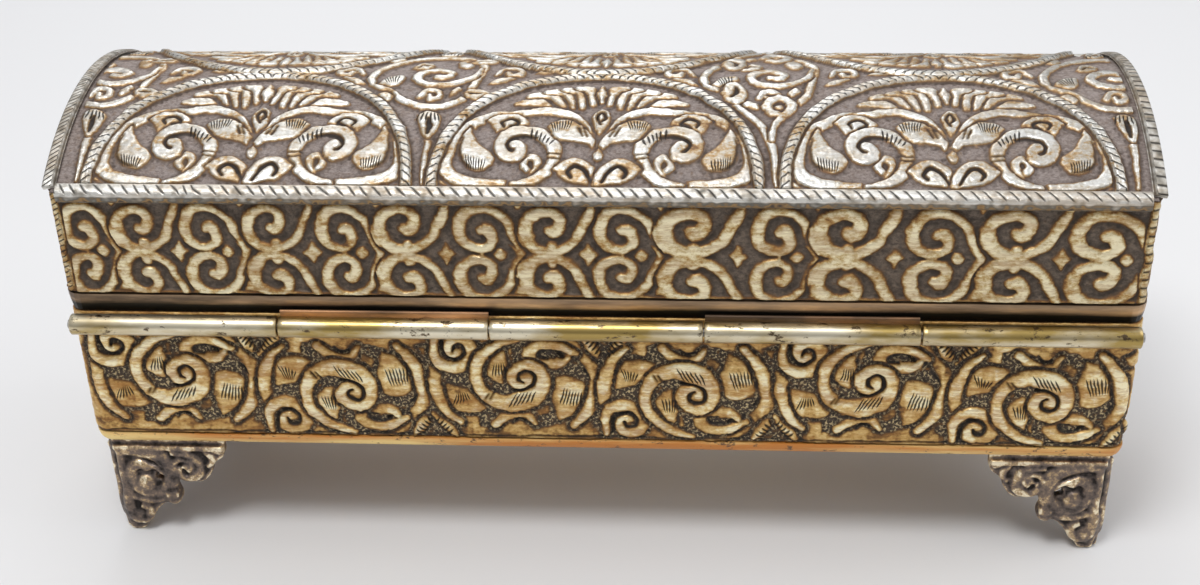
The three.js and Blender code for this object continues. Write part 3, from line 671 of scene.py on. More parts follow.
def roundel_row(relief, centres):
    """Wheels side by side, every other one upside down, on a punched ground."""
    for k, u in enumerate(centres):
        turn = -1 if k % 2 == 0 else 1
        roundel(relief, (u, ROUNDEL_MIDDLE - ROUNDEL_SWAY * turn), turn)
    relief.stipple(0.14)
    relief.h += 0.05 * blurred(RNG.normal(0, 1, relief.h.shape), 1) * (relief.h > 0.3)
    relief.groove(relief.along(0.7), (0.45, 0.45), 0.4)
    relief.settle(0.35)
    relief.keep_under(slice(None), PEAK - 0.02)


def body_panel(name, side, centres, cell, count=1):
    """One of the body's long panels, round both corners."""
    place, length = wrapped(HALF_BODY, side, PANEL_Z[0])
    relief = Relief(length, PANEL_Z[1] - PANEL_Z[0], cell, **BODY_RELIEF)
    roundel_row(relief, centres)
    if side > 0:
        relief.keep_under(relief.v > LEAF_ROOM, 0.22)
    lay(name, name, relief, place, GILT, "body", count)


def body_end(name, side):
    """One of the body's end panels."""
    place = end_face(HALF_BODY, side, PANEL_Z[0])
    width = 2 * (HALF_BODY[1] - CORNER - SOLDER_GAP)
    relief = Relief(width, PANEL_Z[1] - PANEL_Z[0], COARSE, **BODY_RELIEF)
    roundel_row(relief, (-16.0, 20.0))
    lay(name, name, relief, place, GILT, "body")


# The vault's medallions
def roped_ring(relief, centre, side):
    """Half a ring that stands on an eave: a flat strip with slanting cuts."""
    radius = RING_RADIUS - RING_WIDTH / 2
    base = VAULT_ARC - RING_RADIUS
    low = math.asin((SHEET - base) / radius)
    angles = np.linspace(low, math.pi - low, 30)
    at = 0 if side == 1 else 2 * VAULT_ARC
    path = [(centre + radius * np.cos(a), at + side * (base + radius * np.sin(a))) for a in angles]
    relief.stroke(path, (2.5, 2.5), height=level(RING_HEIGHT), over=True, crown=0.02)
    u, v = relief.u[None, :] - centre, side * (relief.v[:, None] - at) - base
    off = np.hypot(u, v) - radius
    phase = np.abs(np.arctan2(u, v)) * radius / ROPE_PITCH - 0.42 * off
    near = (np.abs(off) < RING_WIDTH / 2 + 0.3) & (v > -base)
    relief.cuts(slice(None), near, phase, 0.24 * smoothstep((RING_WIDTH / 2 - np.abs(off)) / 0.3))


# One half of a medallion, from its ring's middle: u runs right, v up from the eave
ARM = [
    (0.5, 10.0), (-0.6, 13.7), (-2.2, 17.9), (-4.8, 21.5), (-8.9, 23.7), (-12.9, 23.8), (-17.2, 23.2),
    (-22.1, 22.2), (-25.3, 20.7), (-28.5, 18.1), (-31.2, 14.3), (-32.6, 10.3), (-32.3, 6.5), (-29.6, 3.9),
    (-24.1, 2.7), (-17.5, 2.6),
]  # fmt: skip
ARM_WIDTHS = (2.8, 2.7, 2.6, 2.6, 2.7, 2.8, 2.9, 3.0, 3.2, 3.5, 3.8, 3.9, 3.8, 3.4, 2.8, 2.0)
BIG_LEAF = [
    (-27.9, 18.6), (-25.3, 13.5), (-22.0, 10.4), (-21.8, 8.1), (-23.7, 5.9), (-26.8, 6.2), (-29.4, 8.4),
    (-30.0, 11.5), (-29.3, 15.5),
]  # fmt: skip
VOLUTE_LEAF = [
    (-23.6, 20.1), (-21.1, 22.0), (-17.4, 21.7), (-15.3, 19.3), (-17.0, 17.3), (-19.4, 16.6), (-20.5, 15.2),
    (-21.9, 17.3),
]  # fmt: skip
INNER = [
    (-17.5, 2.5), (-12.7, 3.6), (-9.9, 6.7), (-8.9, 10.9), (-10.1, 14.4), (-13.0, 16.7), (-16.7, 17.1),
    (-19.7, 15.8), (-20.8, 13.1), (-19.5, 10.2), (-17.3, 9.7), (-16.1, 11.4), (-17.1, 13.2), (-18.3, 13.0),
]  # fmt: skip
INNER_WIDTHS = (1.6, 2.6, 3.1, 3.5, 3.7, 3.7, 3.4, 3.3, 3.4, 3.4, 3.2, 2.9, 2.8, 2.6)
HOOK = [
    (-17.8, 2.4), (-14.5, 3.5), (-12.8, 5.6), (-12.4, 8.2), (-13.4, 9.7), (-14.9, 9.3), (-15.4, 7.4),
    (-14.6, 6.3),
]  # fmt: skip
AXIS_LEAF = [
    (-11.3, 18.9), (-9.3, 20.8), (-6.2, 21.0), (-3.7, 19.2), (-1.4, 16.6), (0.3, 13.7), (0.5, 10.2),
    (-1.7, 13.1), (-4.9, 13.9), (-7.9, 14.5), (-9.9, 16.7),
]  # fmt: skip
FINGERS = (
    [(-18.1, 26.4), (-13.8, 27.1), (-10.6, 25.4)],
    [(-15.6, 29.4), (-10.9, 30.1), (-7.8, 25.9)],
    [(-11.6, 31.1), (-7.5, 30.9), (-5.6, 25.1)],
    [(-7.9, 32.1), (-4.4, 31.6), (-3.7, 24.9)],
    [(-4.8, 32.8), (-1.9, 31.8), (-1.3, 26.5)],
)
FOOT_LEAF = [
    (-8.4, 6.4), (-6.4, 8.6), (-3.4, 9.0), (-0.6, 7.0), (0.5, 4.3), (0.6, 2.4), (-2.5, 2.8), (-5.5, 3.4),
    (-7.3, 4.8),
]  # fmt: skip
BUD_LEAF = [(0.6, 15.6), (-0.9, 18.8), (-1.4, 22.0), (0.4, 24.6), (2.4, 23.8), (2.9, 21.0), (2.1, 18.3)]


BIG_VEIN = [(-29.0, 15.6), (-29.5, 11.5), (-28.8, 8.4), (-26.6, 6.8), (-24.4, 6.4)]
VOLUTE_VEIN = [(-20.4, 18.6), (-21.1, 20.2), (-18.9, 21.1), (-17.2, 19.8), (-19.0, 18.6)]
INNER_VEIN = [(-12.8, 15.2), (-15.6, 15.8), (-18.3, 14.9), (-19.2, 13.0), (-18.4, 11.6)]
FOOT_VEIN = [(-5.0, 4.3), (-5.8, 5.8), (-4.4, 7.3), (-2.5, 6.4), (-1.5, 4.9), (-0.6, 3.2)]


def medallion_half(pen):
    """One side of a medallion: scrolls and leaves that spring from its axis."""
    pen.stroke([(-34.0, 5.0), (-33.4, 3.4), (-31.4, 2.4)], (0.8, 1.4, 0.8), over=False, height=0.8)
    for finger in FINGERS:
        pen.stroke(finger, (1.8, 3.3, 3.3, 1.8))
    pen.stroke(ARM, ARM_WIDTHS)
    pen.groove([(-20.0, 23.6), (-17.6, 24.2), (-15.2, 24.4)], (0.4, 0.6, 0.4), 0.4)
    pen.leaf(BIG_LEAF)
    pen.groove(BIG_VEIN, (0.3, 0.5, 0.6, 0.5, 0.3), 0.5)
    pen.hatch([(-28.6, 10.2), (-23.4, 9.0)], [(-27.8, 6.4), (-24.0, 5.8)], 8)
    pen.leaf(grown(VOLUTE_LEAF, 1.18))
    pen.groove(VOLUTE_VEIN, (0.5, 0.8, 0.6), 0.8)
    pen.stroke(HOOK, (1.2, 1.9, 2.2, 2.3, 2.3, 2.2, 2.1, 1.9))
    pen.stroke(INNER, INNER_WIDTHS)
    pen.groove(INNER_VEIN, (0.4, 0.8, 0.6), 0.8)
    pen.hatch([(-14.6, 15.0), (-9.6, 12.6)], [(-14.6, 18.2), (-8.4, 14.6)], 6)
    for v in (9.4, 10.6):
        pen.groove([(-10.4, v + 0.1), (-7.7, v - 0.1)], (0.5, 0.5), 0.5)
    pen.leaf(AXIS_LEAF)
    pen.hatch([(-10.8, 20.4), (-5.0, 21.0)], [(-9.6, 16.8), (-6.0, 17.2)], 8)
    for u in (-3.4, -2.4):
        pen.groove([(u - 0.6, 18.3), (u + 0.4, 15.6)], (0.5, 0.5), 0.5)
    pen.leaf(grown(FOOT_LEAF, 1.16))
    pen.groove(FOOT_VEIN, (0.5, 0.9, 0.9, 0.5), 0.85)


def medallion(relief, centre, side):
    """Two mirrored halves; the axis stands half a millimetre off the ring's middle."""
    at = 0 if side == 1 else 2 * VAULT_ARC
    for flip in (1, -1):
        medallion_half(Pen(relief, (centre + 0.5 * (1 - flip), at), (flip, side)))
    axis = Pen(relief, (centre, at), (1, side))
    axis.stroke([(0.5, 33.4), (0.5, 30.4), (0.5, 27.2)], (1.4, 2.4, 1.2))
    axis.leaf(BUD_LEAF)
    axis.groove([(0.8, 19.4), (-0.1, 21.6), (0.9, 23.4), (1.7, 21.4), (1.0, 20.4)], (0.5, 0.7, 0.6), 0.7)
    axis.leaf([(0.5, 12.4), (-0.8, 10.6), (0.5, 8.4), (1.8, 10.6)], height=0.85)


# The field between four rings: two scrolls, one inside the other, and a curl
OUTER_SCROLL = [
    (9.9, 40.1), (8.9, 34.0), (7.4, 28.6), (2.4, 25.3), (-2.3, 25.7), (-6.5, 27.8), (-8.8, 30.6),
    (-11.6, 32.6), (-14.2, 35.2), (-14.6, 39.2), (-12.6, 43.8), (-8.6, 48.2), (-3.2, 51.6), (2.6, 52.0),
    (7.6, 49.6), (10.2, 45.2), (9.9, 40.1),
]  # fmt: skip
INNER_SCROLL = [
    (9.6, 43.3), (8.5, 38.6), (5.0, 35.3), (0.4, 34.3), (-3.2, 35.8), (-4.3, 38.9), (-2.4, 41.5), (0.9, 42.0),
    (3.3, 40.4), (2.5, 38.3), (0.2, 38.5),
]  # fmt: skip
CURL = [(-2.6, 29.2), (-1.2, 31.8), (1.2, 31.4), (1.7, 29.0), (-0.2, 28.0), (-0.6, 29.6)]
SIDE_CURL = [(13.6, 39.6), (15.2, 42.8), (18.6, 42.8), (19.2, 40.2), (17.0, 39.0), (16.2, 40.8)]


def ridge_scroll(pen):
    """The scrolls in the field between four rings, over the ridge."""
    pen.stroke(OUTER_SCROLL, (2.3, 2.5, 2.3))
    pen.stroke(INNER_SCROLL, (1.2, 2.4, 2.7, 2.8, 2.8, 2.6, 2.2))
    pen.stroke(CURL, (2.0, 2.1, 1.8))
    pen.leaf([(-13.2, 35.0), (-11.2, 38.4), (-7.2, 39.2), (-7.4, 35.4), (-9.8, 33.4)])
    pen.hatch([(-12.8, 38.2), (-8.2, 39.0)], [(-10.8, 34.4), (-8.4, 34.6)], 6)
    pen.leaf([(-6.8, 43.9), (-4.7, 47.6), (-1.2, 46.0), (-2.2, 43.2), (-5.2, 42.4)])
    pen.groove([(-5.0, 44.0), (-4.2, 45.6), (-2.8, 45.0)], (0.5, 0.8), 0.6)
    pen.leaf([(3.4, 48.5), (5.8, 50.2), (7.8, 47.1), (7.1, 43.8), (4.5, 44.2)])
    pen.leaf([(3.6, 31.6), (5.6, 33.6), (6.9, 32.2), (5.4, 29.6), (3.8, 29.4)])
    for turn, shift in ((1, 0), (-1, -3.6)):
        side = Pen(pen.relief, pen.to((shift, 0)), (turn, 1))
        side.stroke(SIDE_CURL, (1.6, 2.3, 2.0))
        side.leaf([(11.8, 34.6), (14.0, 37.4), (18.4, 38.4), (17.0, 36.6), (14.4, 34.6)])
        side.leaf([(21.6, 40.6), (24.8, 42.6), (29.6, 41.7), (25.4, 40.2)])


def stalk(pen):
    """A straight stalk with a closed leaf, between two rings."""
    pen.stroke([(0.7, 2.6), (0.7, 6.0), (0.9, 11.0), (0.9, 15.5)], (1.0, 1.5, 1.9, 2.3))
    pen.leaf([(-2.3, 22.7), (0.0, 23.9), (3.0, 22.2), (3.2, 19.0), (1.8, 15.2), (0.0, 15.2), (-1.6, 18.9)])
    pen.groove([(0.7, 16.2), (0.6, 19.0), (0.4, 21.4)], (0.6, 1.2, 0.6), 0.8)
    pen.hatch([(-2.6, 20.2), (3.4, 19.6)], [(-1.8, 23.6), (2.6, 23.0)], 6)
    pen.leaf([(6.4, 31.4), (10.4, 32.6), (13.8, 30.2), (11.4, 27.6), (8.4, 28.6)])
    pen.groove([(8.6, 30.6), (11.2, 30.4)], (0.8, 0.5), 0.6)
    pen.leaf([(-13.8, 29.2), (-11.0, 31.2), (-8.6, 29.0), (-10.4, 26.8)])


LEANING = [(-9.8, 33.1), (-7.6, 26.7), (-4.0, 21.8), (-1.0, 16.9), (0.4, 11.3), (0.7, 6.1), (1.0, 2.6)]
VOLUTE = [
    (0.2, 15.2), (0.5, 18.7), (2.4, 22.3), (4.6, 24.8), (4.1, 27.9), (1.4, 29.0), (-0.8, 26.8), (-0.4, 23.7),
    (1.5, 23.3),
]  # fmt: skip
LEANING_LEAF = [(-11.3, 31.2), (-9.7, 35.4), (-6.9, 35.7), (-4.8, 31.9), (-5.4, 28.4), (-7.3, 26.7), (-10.1, 28.3)]


def leaning_stem(pen):
    """A stem that leans over between two rings, with a leaf at its end and a volute."""
    pen.stroke(LEANING, (1.6, 2.0, 2.2, 2.4, 2.2, 1.8, 1.2))
    pen.leaf(LEANING_LEAF)
    pen.groove([(-8.8, 29.6), (-7.4, 31.6), (-7.6, 33.8)], (0.6, 1.0, 0.5), 0.7)
    pen.stroke(VOLUTE, (1.6, 2.0, 2.4, 2.6, 2.7, 2.6, 2.4, 2.2))


def spandrels(relief):
    """The fields between neighbouring rings."""
    for k in (-1.5, -0.5, 0.5, 1.5):
        ridge_scroll(Pen(relief, (k * RING_PITCH, 0)))
        for side, at in ((1, 0), (-1, 2 * VAULT_ARC)):
            pen = Pen(relief, (k * RING_PITCH, at), (1, side))
            if k == 0.5:
                leaning_stem(pen)
            else:
                stalk(pen)


def vault_margins(relief):
    """The relief sinks away under the beads along the eaves and the edging over the ends."""
    eave = np.minimum(relief.v, 2 * VAULT_ARC - relief.v)[:, None]
    end = (VAULT_WIDTH / 2 + SHEET - ARCH_WIDTH - np.abs(relief.u))[None, :]
    relief.h *= smoothstep((eave - 1.6) / 0.5) * smoothstep(end / 0.5)


RING_TONE = 0.84  # the rings are duller than their height would make them


def lid_vault():
    """The vault, in three pieces: two behind the ridge and one before it."""
    relief = Relief(VAULT_WIDTH, 2 * VAULT_ARC, FINE, edge=0.95)
    spandrels(relief)
    for draw in (medallion, roped_ring):
        for k in (-1, 0, 1):
            for side in (1, -1):
                draw(relief, k * RING_PITCH, side)
    relief.stipple(0.09)
    relief.settle()
    vault_margins(relief)
    relief.h = np.minimum(relief.h, level(RING_HEIGHT))
    relief.tone = np.where(relief.h > 1.06, RING_TONE, relief.h)
    middle = relief.v.size // 2 // 2 * 2
    half = {"place": on_vault, "material": SILVER, "body": "lid", "long_rows": False}
    lay("lid_vault_back", "lid_vault", relief, rows=slice(0, middle + 1), count=2, **half)
    lay("lid_vault_front", "lid_vault", relief, rows=slice(middle, None, 2), step=2, **half)


def lid_end(name, side):
    """An end of the lid: the band goes on below, and scrolls fill the arched head."""
    width = 2 * (HALF_LID[1] - CORNER - SOLDER_GAP)
    low = Relief(width, BAND_Z[1] - BAND_Z[0], COARSE)
    band(low, [-26.0, -10.4, 5.2, 20.8])
    top_radius = VAULT_RADIUS - ARCH_TURN - SOLDER_GAP
    axis_depth = VAULT_RADIUS * math.cos(VAULT_ANGLE)
    reach = math.sqrt(top_radius**2 - axis_depth**2) - 0.2
    rise = top_radius - axis_depth
    head = Relief(2 * reach, rise, COARSE)
    for flip in (1, -1):
        pen = Pen(head, (0, 0), (flip, 1))
        pen.stroke([(2.0, 1.6), (8.0, 2.0), (13.5, 4.2), (12.2, 7.6), (8.2, 7.8), (6.8, 5.4), (9.2, 4.6)],
                   (1.6, 2.4, 2.6, 2.4, 2.2, 2.0, 1.6), over=False)  # fmt: skip
        pen.stroke([(14.0, 1.6), (19.5, 2.0), (24.0, 3.4), (22.6, 6.2), (19.0, 5.8), (18.6, 3.9)],
                   (1.4, 2.0, 2.2, 2.0, 1.8, 1.4), over=False)  # fmt: skip
        pen.leaf([(1.0, 4.4), (3.4, 6.8), (3.0, 8.8), (0.4, 7.4)])
        pen.leaf([(25.0, 1.6), (29.6, 2.0), (27.0, 3.8)])
    for relief in (low, head):
        relief.stipple(0.05)
        relief.settle()
        relief.keep_under(slice(None), 0.28)

    def under_arch(u, v):
        return v * (np.sqrt(top_radius**2 - u**2) - axis_depth) / rise

    parts = [
        sheet_part(low, end_face(HALF_LID, side, BAND_Z[0])),
        sheet_part(head, end_face(HALF_LID, side, EAVE_Z), warp=under_arch),
    ]
    build_piece(name, parts, SILVER, "lid", name)


# Beads
BEAD_BASE = 0.8  # the height of their plain metal on the relief
EAVE_CUT_PITCH = 2.75
EAVE_CUT_SLANT = 0.75
BEAD_FACE = GROUND + BEAD_BASE * (PEAK - GROUND)  # and the lift that it gives


def furrow(v, at, wide):
    """1 along a line, falling away softly on both sides."""
    return np.exp(-(((v - at) / wide) ** 2))


def mottled(relief, amount, rounds):
    """Uneven tarnish on a bead."""
    return amount * blurred(RNG.normal(0, 1, relief.h.shape), rounds)


def eave_bead(name, side, cell):
    """A round bead along an eave: bright with thin slanting cuts above, dull below, and a fine fillet."""
    low, high = span(name)
    overlap = SOLDER_GAP + BEAD_DROP * math.cos(VAULT_ANGLE)
    top = math.pi / 2 - VAULT_ANGLE + math.acos(overlap / BEAD_RADIUS)
    bottom = -math.acos(SOLDER_GAP / BEAD_RADIUS)
    relief = Relief(high[0] - low[0], BEAD_RADIUS * (top - bottom), cell, BEAD_BASE)
    u, v = relief.u[None, :], relief.v[:, None]
    shoulder = -BEAD_RADIUS * bottom - 0.2  # where the dull lower side ends
    bright = smoothstep((v - shoulder) / 0.5)
    fillet = furrow(v, 1.75, 0.35)
    relief.tone = 0.30 + 0.5 * bright - 0.16 * fillet + mottled(relief, 0.66, 8)
    relief.h += 0.14 * fillet - 0.3 * furrow(v, 1.05, 0.3) - 0.10 * (1 - bright) * smoothstep(v / 2)
    relief.ink += 0.9 * furrow(v, 1.05, 0.28)
    drift = np.interp(relief.u, np.linspace(relief.u[0], relief.u[-1], 70), RNG.normal(0, 0.13, 70))
    phase = (u + EAVE_CUT_SLANT * v) / EAVE_CUT_PITCH + drift
    part = 0.21 * smoothstep((v - shoulder - 0.7) / 0.9) * smoothstep((relief.v[-1] - 0.9 - v) / 0.9)
    relief.cuts(slice(None), part > 0, phase, part)
    relief.h += 0.02 * blurred(RNG.normal(0, 1, relief.h.shape), 2)

    def place(u, v, lift):
        a = bottom + v / BEAD_RADIUS
        r = BEAD_RADIUS + np.minimum(lift - BEAD_FACE, 0)
        y = HALF_LID[1] + r * np.cos(a)
        return np.stack([-side * u, side * y + SHIFT_Y, EAVE_Z - BEAD_DROP + r * np.sin(a)], -1)

    lay(name, name, relief, place, BEAD, "lid", depth=GROUND - 0.5)


def arch_bead(name, side):
    """The edging over the vault's end: a flat rounded strip with cuts, turned down over the end."""
    bend = 0.5  # its height over the vault, and the radius of its edge
    flat = ARCH_WIDTH - bend - 0.1
    corner = bend * math.pi / 2
    down = SOLDER_GAP + ARCH_TURN
    relief = Relief(2 * VAULT_ARC - 2 * ARCH_TURN, flat + corner + down, 0.25, BEAD_BASE)
    relief.u = relief.u + VAULT_ARC
    v = relief.v[:, None]
    relief.tone = 0.62 + mottled(relief, 0.5, 6)
    relief.h -= 0.5 * furrow(v, 0.45, 0.3) + 0.25 * smoothstep((0.9 - v) / 0.9)
    relief.ink += 0.8 * furrow(v, 0.45, 0.28)
    pitch, slant = (1.3, 0.9) if side > 0 else (2.2, 0.15)
    where = relief.window((0, 0.9), (2 * VAULT_ARC, flat + corner))
    phase = (relief.u[None, where[1]] + slant * relief.v[where[0], None]) / pitch
    relief.cuts(where, True, phase, 0.24)
    middle = side * (HALF_LID[0] + SOLDER_GAP - ARCH_WIDTH)

    def place(u, v, lift):
        give = np.minimum(lift - BEAD_FACE, 0)
        a = np.clip((v - flat) / bend, 0, math.pi / 2)
        x = np.minimum(v, flat) + (bend + give) * np.sin(a)
        fall = bend * (1 - np.cos(a)) + np.clip(v - flat - corner, 0, None)
        at = on_vault(np.zeros_like(u), u, SOLDER_GAP + bend + give * np.cos(a) - fall)
        at[..., 0] = middle + side * x
        return at

    lay(name, name, relief, place, BEAD, "lid", depth=BEAD_FACE - 0.5)


# The hinge
def ring_grid(profile, axis, steps=56):
    """A closed body turned round the X axis from a closed (x, radius) outline."""
    angles = np.linspace(0, 2 * math.pi, steps, endpoint=False)
    points = [(x, axis[0] + r * math.cos(a), axis[1] + r * math.sin(a)) for x, r in profile for a in angles]
    rows = len(profile)
    faces = []
    for i in range(rows):
        for j in range(steps):
            k = (j + 1) % steps
            n = (i + 1) % rows
            faces.append([i * steps + j, n * steps + j, n * steps + k, i * steps + k])
    return np.array(points), faces


def plate(x0, x1, y0, y1, z0, z1):
    """A thin plate along X with its long edges rounded."""
    round_by = 0.25
    outline = []
    for cy, cz, start in ((y1, z1, 0), (y0, z1, 1), (y0, z0, 2), (y1, z0, 3)):
        y = cy - math.copysign(round_by, cy - (y0 + y1) / 2)
        z = cz - math.copysign(round_by, cz - (z0 + z1) / 2)
        for a in np.linspace(start, start + 1, 4) * math.pi / 2:
            outline.append((y + round_by * math.cos(a), z + round_by * math.sin(a)))
    n = len(outline)
    points = [(x, y, z) for x in (x0, x1) for y, z in outline]
    faces = [[j, n + j, n + (j + 1) % n, (j + 1) % n] for j in range(n)]
    faces += [list(range(n)), list(range(2 * n - 1, n - 1, -1))]
    return np.array(points), faces


KNUCKLE_LIP = 0.22  # how far its ends are rounded over
KNUCKLE_WEAR = 0.025  # how uneven its surface is


def knuckle(name):
    """A rolled knuckle on the pin, and its leaf."""
    low, high = span(name)
    pin_low, pin_high = span("hinge_pin")
    axis = ((pin_low[1] + pin_high[1]) / 2, (pin_low[2] + pin_high[2]) / 2)
    bore = (pin_high[1] - pin_low[1]) / 2 + PIN_CLEARANCE
    outer = high[1] - axis[0]
    profile = [(low[0], bore), (low[0], outer - KNUCKLE_LIP), (low[0] + KNUCKLE_LIP, outer)]
    xs = np.linspace(low[0] + 1.2, high[0] - 1.2, 24)
    profile += [(x, outer - abs(RNG.normal(0, KNUCKLE_WEAR))) for x in xs]
    profile += [(high[0] - KNUCKLE_LIP, outer), (high[0], outer - KNUCKLE_LIP), (high[0], bore)]
    tube = ring_grid(profile, axis)
    on_body = name.startswith("body")
    face = (HALF_BODY if on_body else HALF_LID)[1] + SHIFT_Y + SOLDER_GAP
    z0, z1 = (low[2], axis[1] - 0.4) if on_body else (axis[1] + 0.4, high[2])
    leaf = plate(low[0] + 0.1, high[0] - 0.1, face, face + LEAF_THICKNESS, z0, z1)
    points, faces = joined([tube, leaf])
    mesh = bpy.data.meshes.new(name + "_rolled")
    mesh.from_pydata((points * MM).tolist(), [], faces)
    on_leaf = [0] * len(tube[1]) + [1] * len(leaf[1])
    mesh.polygons.foreach_set("use_smooth", [not k for k in on_leaf])
    mesh.polygons.foreach_set("material_index", on_leaf)
    mesh.materials.append(HINGE)
    mesh.materials.append(SOLDER)
    add_piece(name + "_rolled", mesh, "body" if on_body else "lid", name)


# The feet. A wing is drawn square on: u runs inward from the corner, v up from the body's underside
# and w out from the wing's back.
WING_FACE = 2.2  # its plate's thickness
WING_PROUD = 1.0  # and what its scrolls stand above that
BIG_SCROLL = [
    (1.3, -3.5), (6.5, -3.0), (11.7, -5.0), (13.7, -9.0), (13.0, -13.0), (10.0, -15.3), (6.5, -14.8),
    (4.1, -12.0), (3.9, -9.0), (5.6, -7.2), (7.8, -7.6), (8.2, -8.8),
]  # fmt: skip
SMALL_SCROLL = [
    (14.3, -3.6), (18.3, -4.0), (20.9, -6.5), (20.4, -9.5), (17.8, -11.0), (15.2, -9.5), (14.8, -7.0),
    (16.5, -5.5), (18.7, -6.0), (19.1, -7.8), (17.8, -8.8),
]  # fmt: skip
POST = [(2.2, -3.4), (1.9, -9.0), (2.4, -14.0), (2.1, -19.0), (3.0, -23.0)]  # along the foot's corner


def bar(path, widths, thick, face=WING_FACE):
    """A flattened bar along a smooth path on a wing's face: its points and its faces."""
    line = curve(with_width(path, widths), 4)
    run = np.gradient(line[:, :2], axis=0)
    run /= np.linalg.norm(run, axis=1)[:, None]
    angles = np.linspace(0, 2 * math.pi, 10, endpoint=False)
    across = line[:, 2:3] / 2 * np.cos(angles)
    points = np.stack([
        line[:, :1] - run[:, 1:] * across,
        line[:, 1:2] + run[:, :1] * across,
        face + thick * np.sin(angles) + 0 * across,
    ], -1).reshape(-1, 3)
    n = len(angles)
    faces = [
        [i * n + j, i * n + (j + 1) % n, (i + 1) * n + (j + 1) % n, (i + 1) * n + j]
        for i in range(len(line) - 1) for j in range(n)
    ]
    return points, faces + [list(range(n)), [len(points) - 1 - j for j in range(n)]]


def ball(u, v, radius, lift):
    """A boss, a little flattened."""
    reach, tip = radius * 0.8, radius * 0.9
    return bar([(u - reach, v), (u, v), (u + reach, v)], (tip, radius * 2, tip), reach, WING_FACE + lift)


def wing_forms():
    """What stands on a wing's face."""
    return [
        bar(BIG_SCROLL, (2.6, 4.0, 4.4, 4.2, 4.0, 4.0, 4.0, 3.8, 3.4, 3.0, 2.8, 2.6), 1.15),
        bar(SMALL_SCROLL, (1.8, 2.4, 2.4, 2.4, 2.2, 2.0, 1.9, 1.8, 1.7, 1.6, 1.6), 1.1),
        bar([(22.6, -3.2), (24.0, -4.6), (24.0, -6.4), (22.8, -7.6)], (1.4, 2.0, 1.8, 1.2), 0.9),
        bar([(24.6, -2.8), (25.8, -3.2), (26.6, -3.6)], (1.2, 1.6, 1.0), 0.8),
        bar([(0.8, -2.1), (14.0, -2.0), (27.0, -2.1)], (1.1, 1.3), 1.05, WING_FACE + 0.1),
        bar(POST, (2.4, 2.0, 2.8, 3.0, 3.4), 1.1),
        bar([(3.4, -16.6), (7.4, -17.6), (10.4, -17.0), (12.4, -15.4)], (2.2, 2.6, 2.4, 1.6), 1.0),
        bar([(5.0, -19.2), (7.0, -20.4), (6.4, -22.6), (4.6, -24.2)], (1.6, 2.4, 2.6, 2.0), 1.1),
        ball(13.5, -15.6, 1.9, 0.2),
        ball(17.6, -7.4, 1.0, 0.3),
    ]


def cad_solid(node):
    """A CAD node's points in millimetres, and its faces."""
    obj = frame["nodes"][node]
    points = np.array([obj.matrix_world @ v.co for v in obj.data.vertices]) / MM
    return points, [list(p.vertices) for p in obj.data.polygons]


def remeshed(solids, cell):
    """One skin over overlapping solids."""
    points, faces = joined(solids)
    mesh = bpy.data.meshes.new("rough")
    mesh.from_pydata(points.tolist(), [], faces)
    rough = bpy.data.objects.new("rough", mesh)
    bpy.context.scene.collection.objects.link(rough)
    skin = rough.modifiers.new("skin", "REMESH")
    skin.mode = "VOXEL"
    skin.voxel_size = cell
    skin.use_smooth_shade = True
    done = bpy.data.meshes.new_from_object(rough.evaluated_get(bpy.context.evaluated_depsgraph_get()))
    bpy.data.objects.remove(rough)
    return done


def read(data, key, size, kind=float):
    """A mesh's own numbers, so many to a row."""
    values = np.empty(len(data) * size, kind)
    data.foreach_get(key, values)
    return values.reshape(-1, size)


SMOOTHING = 7  # rounds that melt the bars into one casting
FLAT_TONE = 0.44  # tone of a flat spot
WEAR_AND_HIGHLIGHT_BY = 1.5  # and how fast it brightens where the surface stands out: rubbed wear with a painted highlight


def foot(name, sx, sy, cell):
    """A cast foot: the two wings of the CAD foot with their scrolls, worn bright and given a painted highlight on
    what stands out.
    """
    solids = [cad_solid(name)]
    for points, faces in wing_forms():
        side, out = points[:, 0] + WING_PROUD, WING_FACE + WING_PROUD - points[:, 2]
        for a, b in ((side, out), (out, side)):
            x, y = sx * (HALF_BODY[0] - FOOT_INSET - a), sy * (HALF_BODY[1] - FOOT_INSET - b) + SHIFT_Y
            solids.append((np.stack([x, y, ROLL_LOW[2] + points[:, 1]], -1), faces))
    mesh = remeshed(solids, cell)
    at = read(mesh.vertices, "co", 3)
    ends = read(mesh.edges, "vertices", 2, int)
    a, b = ends.T
    degree = np.bincount(ends.reshape(-1), minlength=len(at))[:, None]

    def mean(values):
        """Each point's value averaged over its neighbours."""
        total = np.zeros_like(values)
        np.add.at(total, a, values[b])
        np.add.at(total, b, values[a])
        return total / degree

    for _ in range(SMOOTHING):
        at = at + 0.5 * (mean(at) - at)
    at[:, 2] = np.clip(at[:, 2], 0, ROLL_LOW[2] - 0.03)
    mesh.vertices.foreach_set("co", (at * MM).reshape(-1))
    mesh.update()
    wide = at
    for _ in range(4):
        wide = mean(wide)
    bulge = ((at - wide) * read(mesh.vertices, "normal", 3)).sum(1)[:, None] / cell
    # rubbed wear and a painted highlight: the tone rises with how far the surface stands out
    tone = np.clip(FLAT_TONE + WEAR_AND_HIGHLIGHT_BY * mean(mean(bulge)), 0, 1).reshape(-1).astype(np.float32)
    mesh.attributes.new("height", "FLOAT", "POINT").data.foreach_set("value", tone)
    mesh.materials.clear()
    mesh.materials.append(CAST)
    mesh.name = name + "_cast"
    add_piece(name + "_cast", mesh, "body", name)


